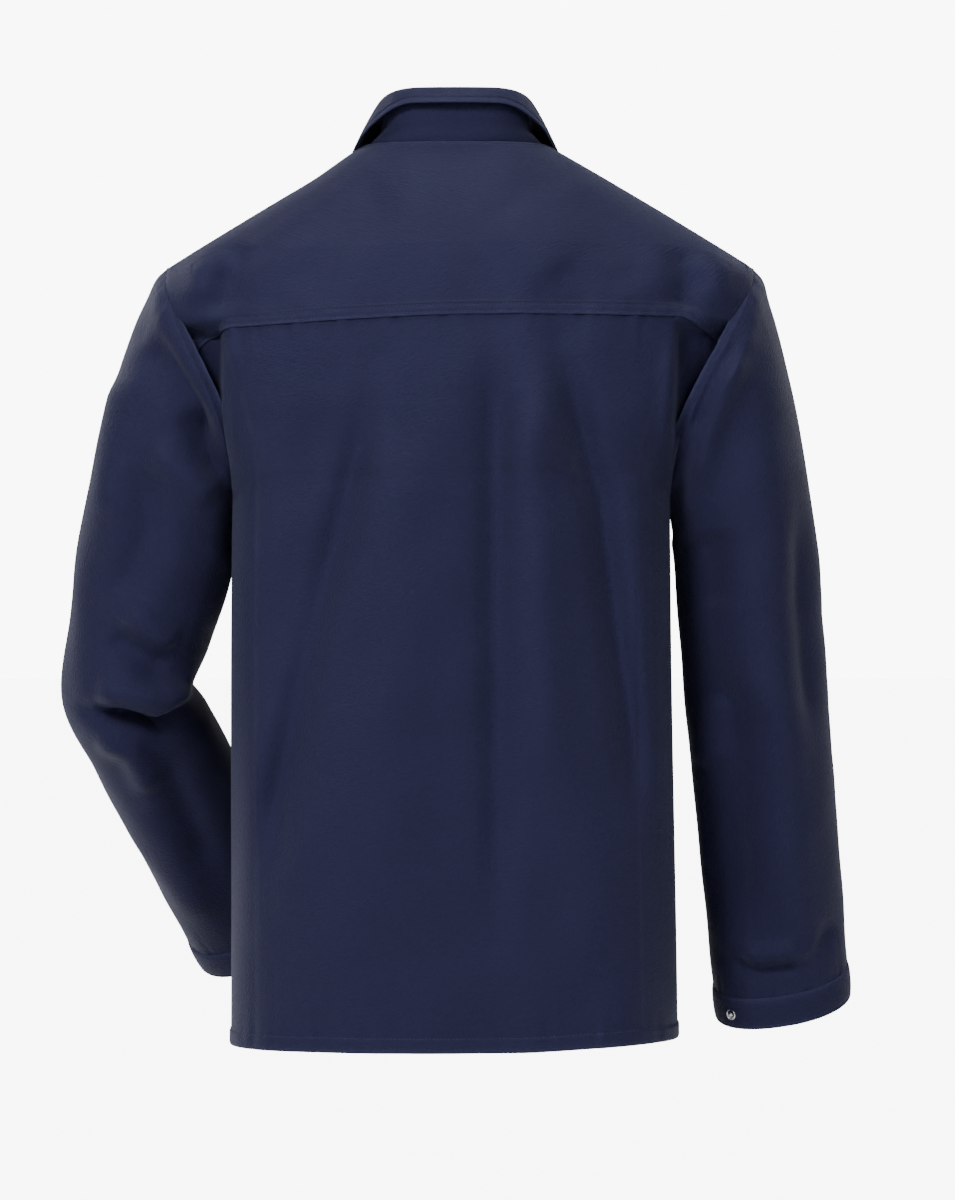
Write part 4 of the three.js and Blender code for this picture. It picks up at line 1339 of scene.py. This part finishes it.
def fall_point(turn, v):
    """A point of the turned-down fall, v from 0 at the fold to 1 at its free edge."""
    forward = smooth(0.25, 1.35, np.abs(turn))
    width = lerp(FALL_BACK_WIDTH, FALL_FRONT_WIDTH, forward)
    lean = lerp(0.7, 0.56, smooth(0.25, 0.6, np.abs(turn)))
    roll = 1.6 * np.sqrt(np.clip(1 - (1 - np.clip(v * 6, 0, 1)) ** 2, 0, 1))
    out = 1.4 * smooth(0, 1, v * 4) + width * v * np.sin(lean) + 0.5
    down = width * v * v ** 0.3 * np.cos(lean) - roll + 0.4
    start = stand_point(turn, 1.0 + 0 * turn) + stack(0 * turn, 0, 1.6)
    wave = 0.8 * np.sin(turn * 9 + 1) * v
    return start + neck_outward(turn) * (out + wave)[..., None] - stack(0 * down, 0, down)


def add_collar():
    rows = spread(0, STAND_HEIGHT, 2.2, True, True, 1.0, 6) / STAND_HEIGHT
    turn, height = np.meshgrid(TURNS, rows)
    points = stand_point(turn, height)
    crease = 0.8 * np.exp(-((height - 0.45 - 0.1 * np.cos(turn * 3)) / 0.12) ** 2)
    points = points - neck_outward(turn) * crease[..., None]
    stand = shell_grids(points, neck_outward(turn), COLLAR_THICK, 0, grooves=STAND_STITCHES)
    stand_piece = shell_mesh("stand", stand, CLOTH)
    rows = spread(0, 40, 1.6, True, True, 0.8, 6) / 40
    turn, v = np.meshgrid(TURNS, rows)
    points = fall_point(turn, v)
    fall = shell_grids(points, neck_outward(turn) + np.array([0, 0, 0.5]), COLLAR_THICK, 0.6,
                       grooves=[(edge, FALL_STITCH) for edge in ("bottom", "left", "right")])
    fall_piece = shell_mesh("fall", fall, CLOTH)
    lines = [trim(line_at(stand, *where), 2, 2) for where in STAND_STITCHES]
    lines.append(trim(line_at(fall, "bottom", FALL_STITCH), 2, 2))
    lines += [trim(line_at(fall, edge, FALL_STITCH), 1, 2) for edge in ("left", "right")]
    thread = stitched("collar_stitches", lines)
    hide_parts("collar_stand")
    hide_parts("collar_fall")
    place((stand_piece, fall_piece, thread), "torso", "collar_cloth")


add_collar()

# --------------------------------------------------------------- loop and neck label
LOOP_BASE = -CLOTH_CAD / 2 - LAY_GAP
PATCH_STITCH = 1.5


def back_patch(name, node, xs, zs, lift, material, slot, thick, edges):
    """A small piece inside the back, moved forward by lift and sewn at its edges."""
    x, z = np.meshgrid(xs, zs)
    points = body_surface("back", angle_at(x, z, "back"), z)
    points[..., 1] += lift(x)
    shell = shell_grids(points, outward("back"), thick, 0)
    piece = shell_mesh(name, shell, material)
    lines = [trim(line_at(shell, edge, PATCH_STITCH), 1, 1) for edge in edges]
    thread = stitched(f"{name}_stitches", lines)
    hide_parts(node)
    place((piece, thread), "torso", slot)


back_patch("loop", "hang_loop", np.linspace(-30, 30, 61), np.linspace(-8, -16, 12),
           lambda x: LOOP_BASE - 0.7 - 9 * np.cos(math.pi * x / 60), INNER, "inner_cloth", 1.2,
           ("left", "right"))
back_patch("label", "neck_label", np.linspace(-28, 28, 40), np.linspace(-30, -72, 34),
           lambda x: LOOP_BASE - 1.2, LABEL, "label", 0.5, ("left", "right", "top", "bottom"))

# ---------------------------------------------------------------------- cuff tabs
TAB_ROOT = math.pi * 1.52
TAB_LENGTH = 62.0
CUFF_CAD_THICK = 2.4
TAB_STITCH = 2.5
TAB_GRID = (16, 56)
TAB_FASTENER = 0.8
OPEN_STUD = math.pi * 0.78


def cuff_spot(word, phi, v, offset):
    """A point off the cuff and its normal: phi around it, v from 0 at its top to 1."""
    arm = ARMS[word]
    elbow, cuff = np.array(arm["elbow"], float), np.array(arm["cuff"], float)
    fore = unit(cuff - elbow)
    out, back = ring_axes(fore)
    up = CUFF_DEPTH * (1 - v)
    share = 1 - up / np.linalg.norm(cuff - elbow)
    half = lerp(np.array(arm["elbow_half"], float), np.array(arm["cuff_half"], float), share)
    centre = cuff - fore * (up - cuff_slant(arm, phi))
    point = ring(centre, fore, half, np.array([phi]))[0]
    normal = unit(out * math.cos(phi) / arm["cuff_half"][0]
                  + back * math.sin(phi) / arm["cuff_half"][1])
    side = arm["side"]
    return mirror(point + normal * offset, side), mirror(normal, side)


def add_tab(word):
    mean = sum(ARMS[word]["cuff_half"]) / 2
    tip = TAB_ROOT - TAB_LENGTH / mean
    base, high = CUFF_CAD_THICK / 2 + LAY_GAP, CUFF_CAD_THICK / 2 + FASTENER_GAP
    rows, cols = TAB_GRID
    points = np.zeros((rows, cols, 3))
    outs = np.zeros((rows, cols, 3))
    for j, phi in enumerate(np.linspace(TAB_ROOT, tip, cols)):
        share = j / (cols - 1)
        narrow = lerp(0.44, 0.20, smooth(0.86, 1.05, share))
        lift = lerp(base, high, float(smooth(0, 0.6, share))) + CLOTH_CAD / 2
        for i, row in enumerate(np.linspace(-1, 1, rows)):
            points[i, j], outs[i, j] = cuff_spot(word, phi, 0.5 + row * narrow, lift)
    shell = shell_grids(points, outs, CLOTH_THICK, 0)
    piece = shell_mesh(f"tab_{word}", shell, CLOTH)
    lines = [trim(line_at(shell, edge, TAB_STITCH), 2, 2) for edge in ("top", "bottom")]
    thread = stitched(f"tab_stitches_{word}", lines)
    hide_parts(f"cuff_{word}_tab")
    place((piece, thread), f"cuff_tab_{word}", "cloth")
    stud_phi = lerp(TAB_ROOT, tip, TAB_FASTENER)
    for name, phi in (("stud", stud_phi), ("open_stud", OPEN_STUD)):
        spot, normal = cuff_spot(word, phi, 0.5, 0.6)
        add_fastener(f"tab_{name}_{word}", f"cuff_{word}_{name}", stud_profile(CUFF_CAD_THICK),
                     spot, normal, f"forearm_{word}")
    spot, normal = cuff_spot(word, stud_phi, 0.5, high + CLOTH_CAD / 2)
    add_fastener(f"tab_cap_{word}", f"cuff_{word}_cap", cap_profile(CLOTH_CAD), spot, normal,
                 f"cuff_tab_{word}")


for word in ARMS:
    add_tab(word)
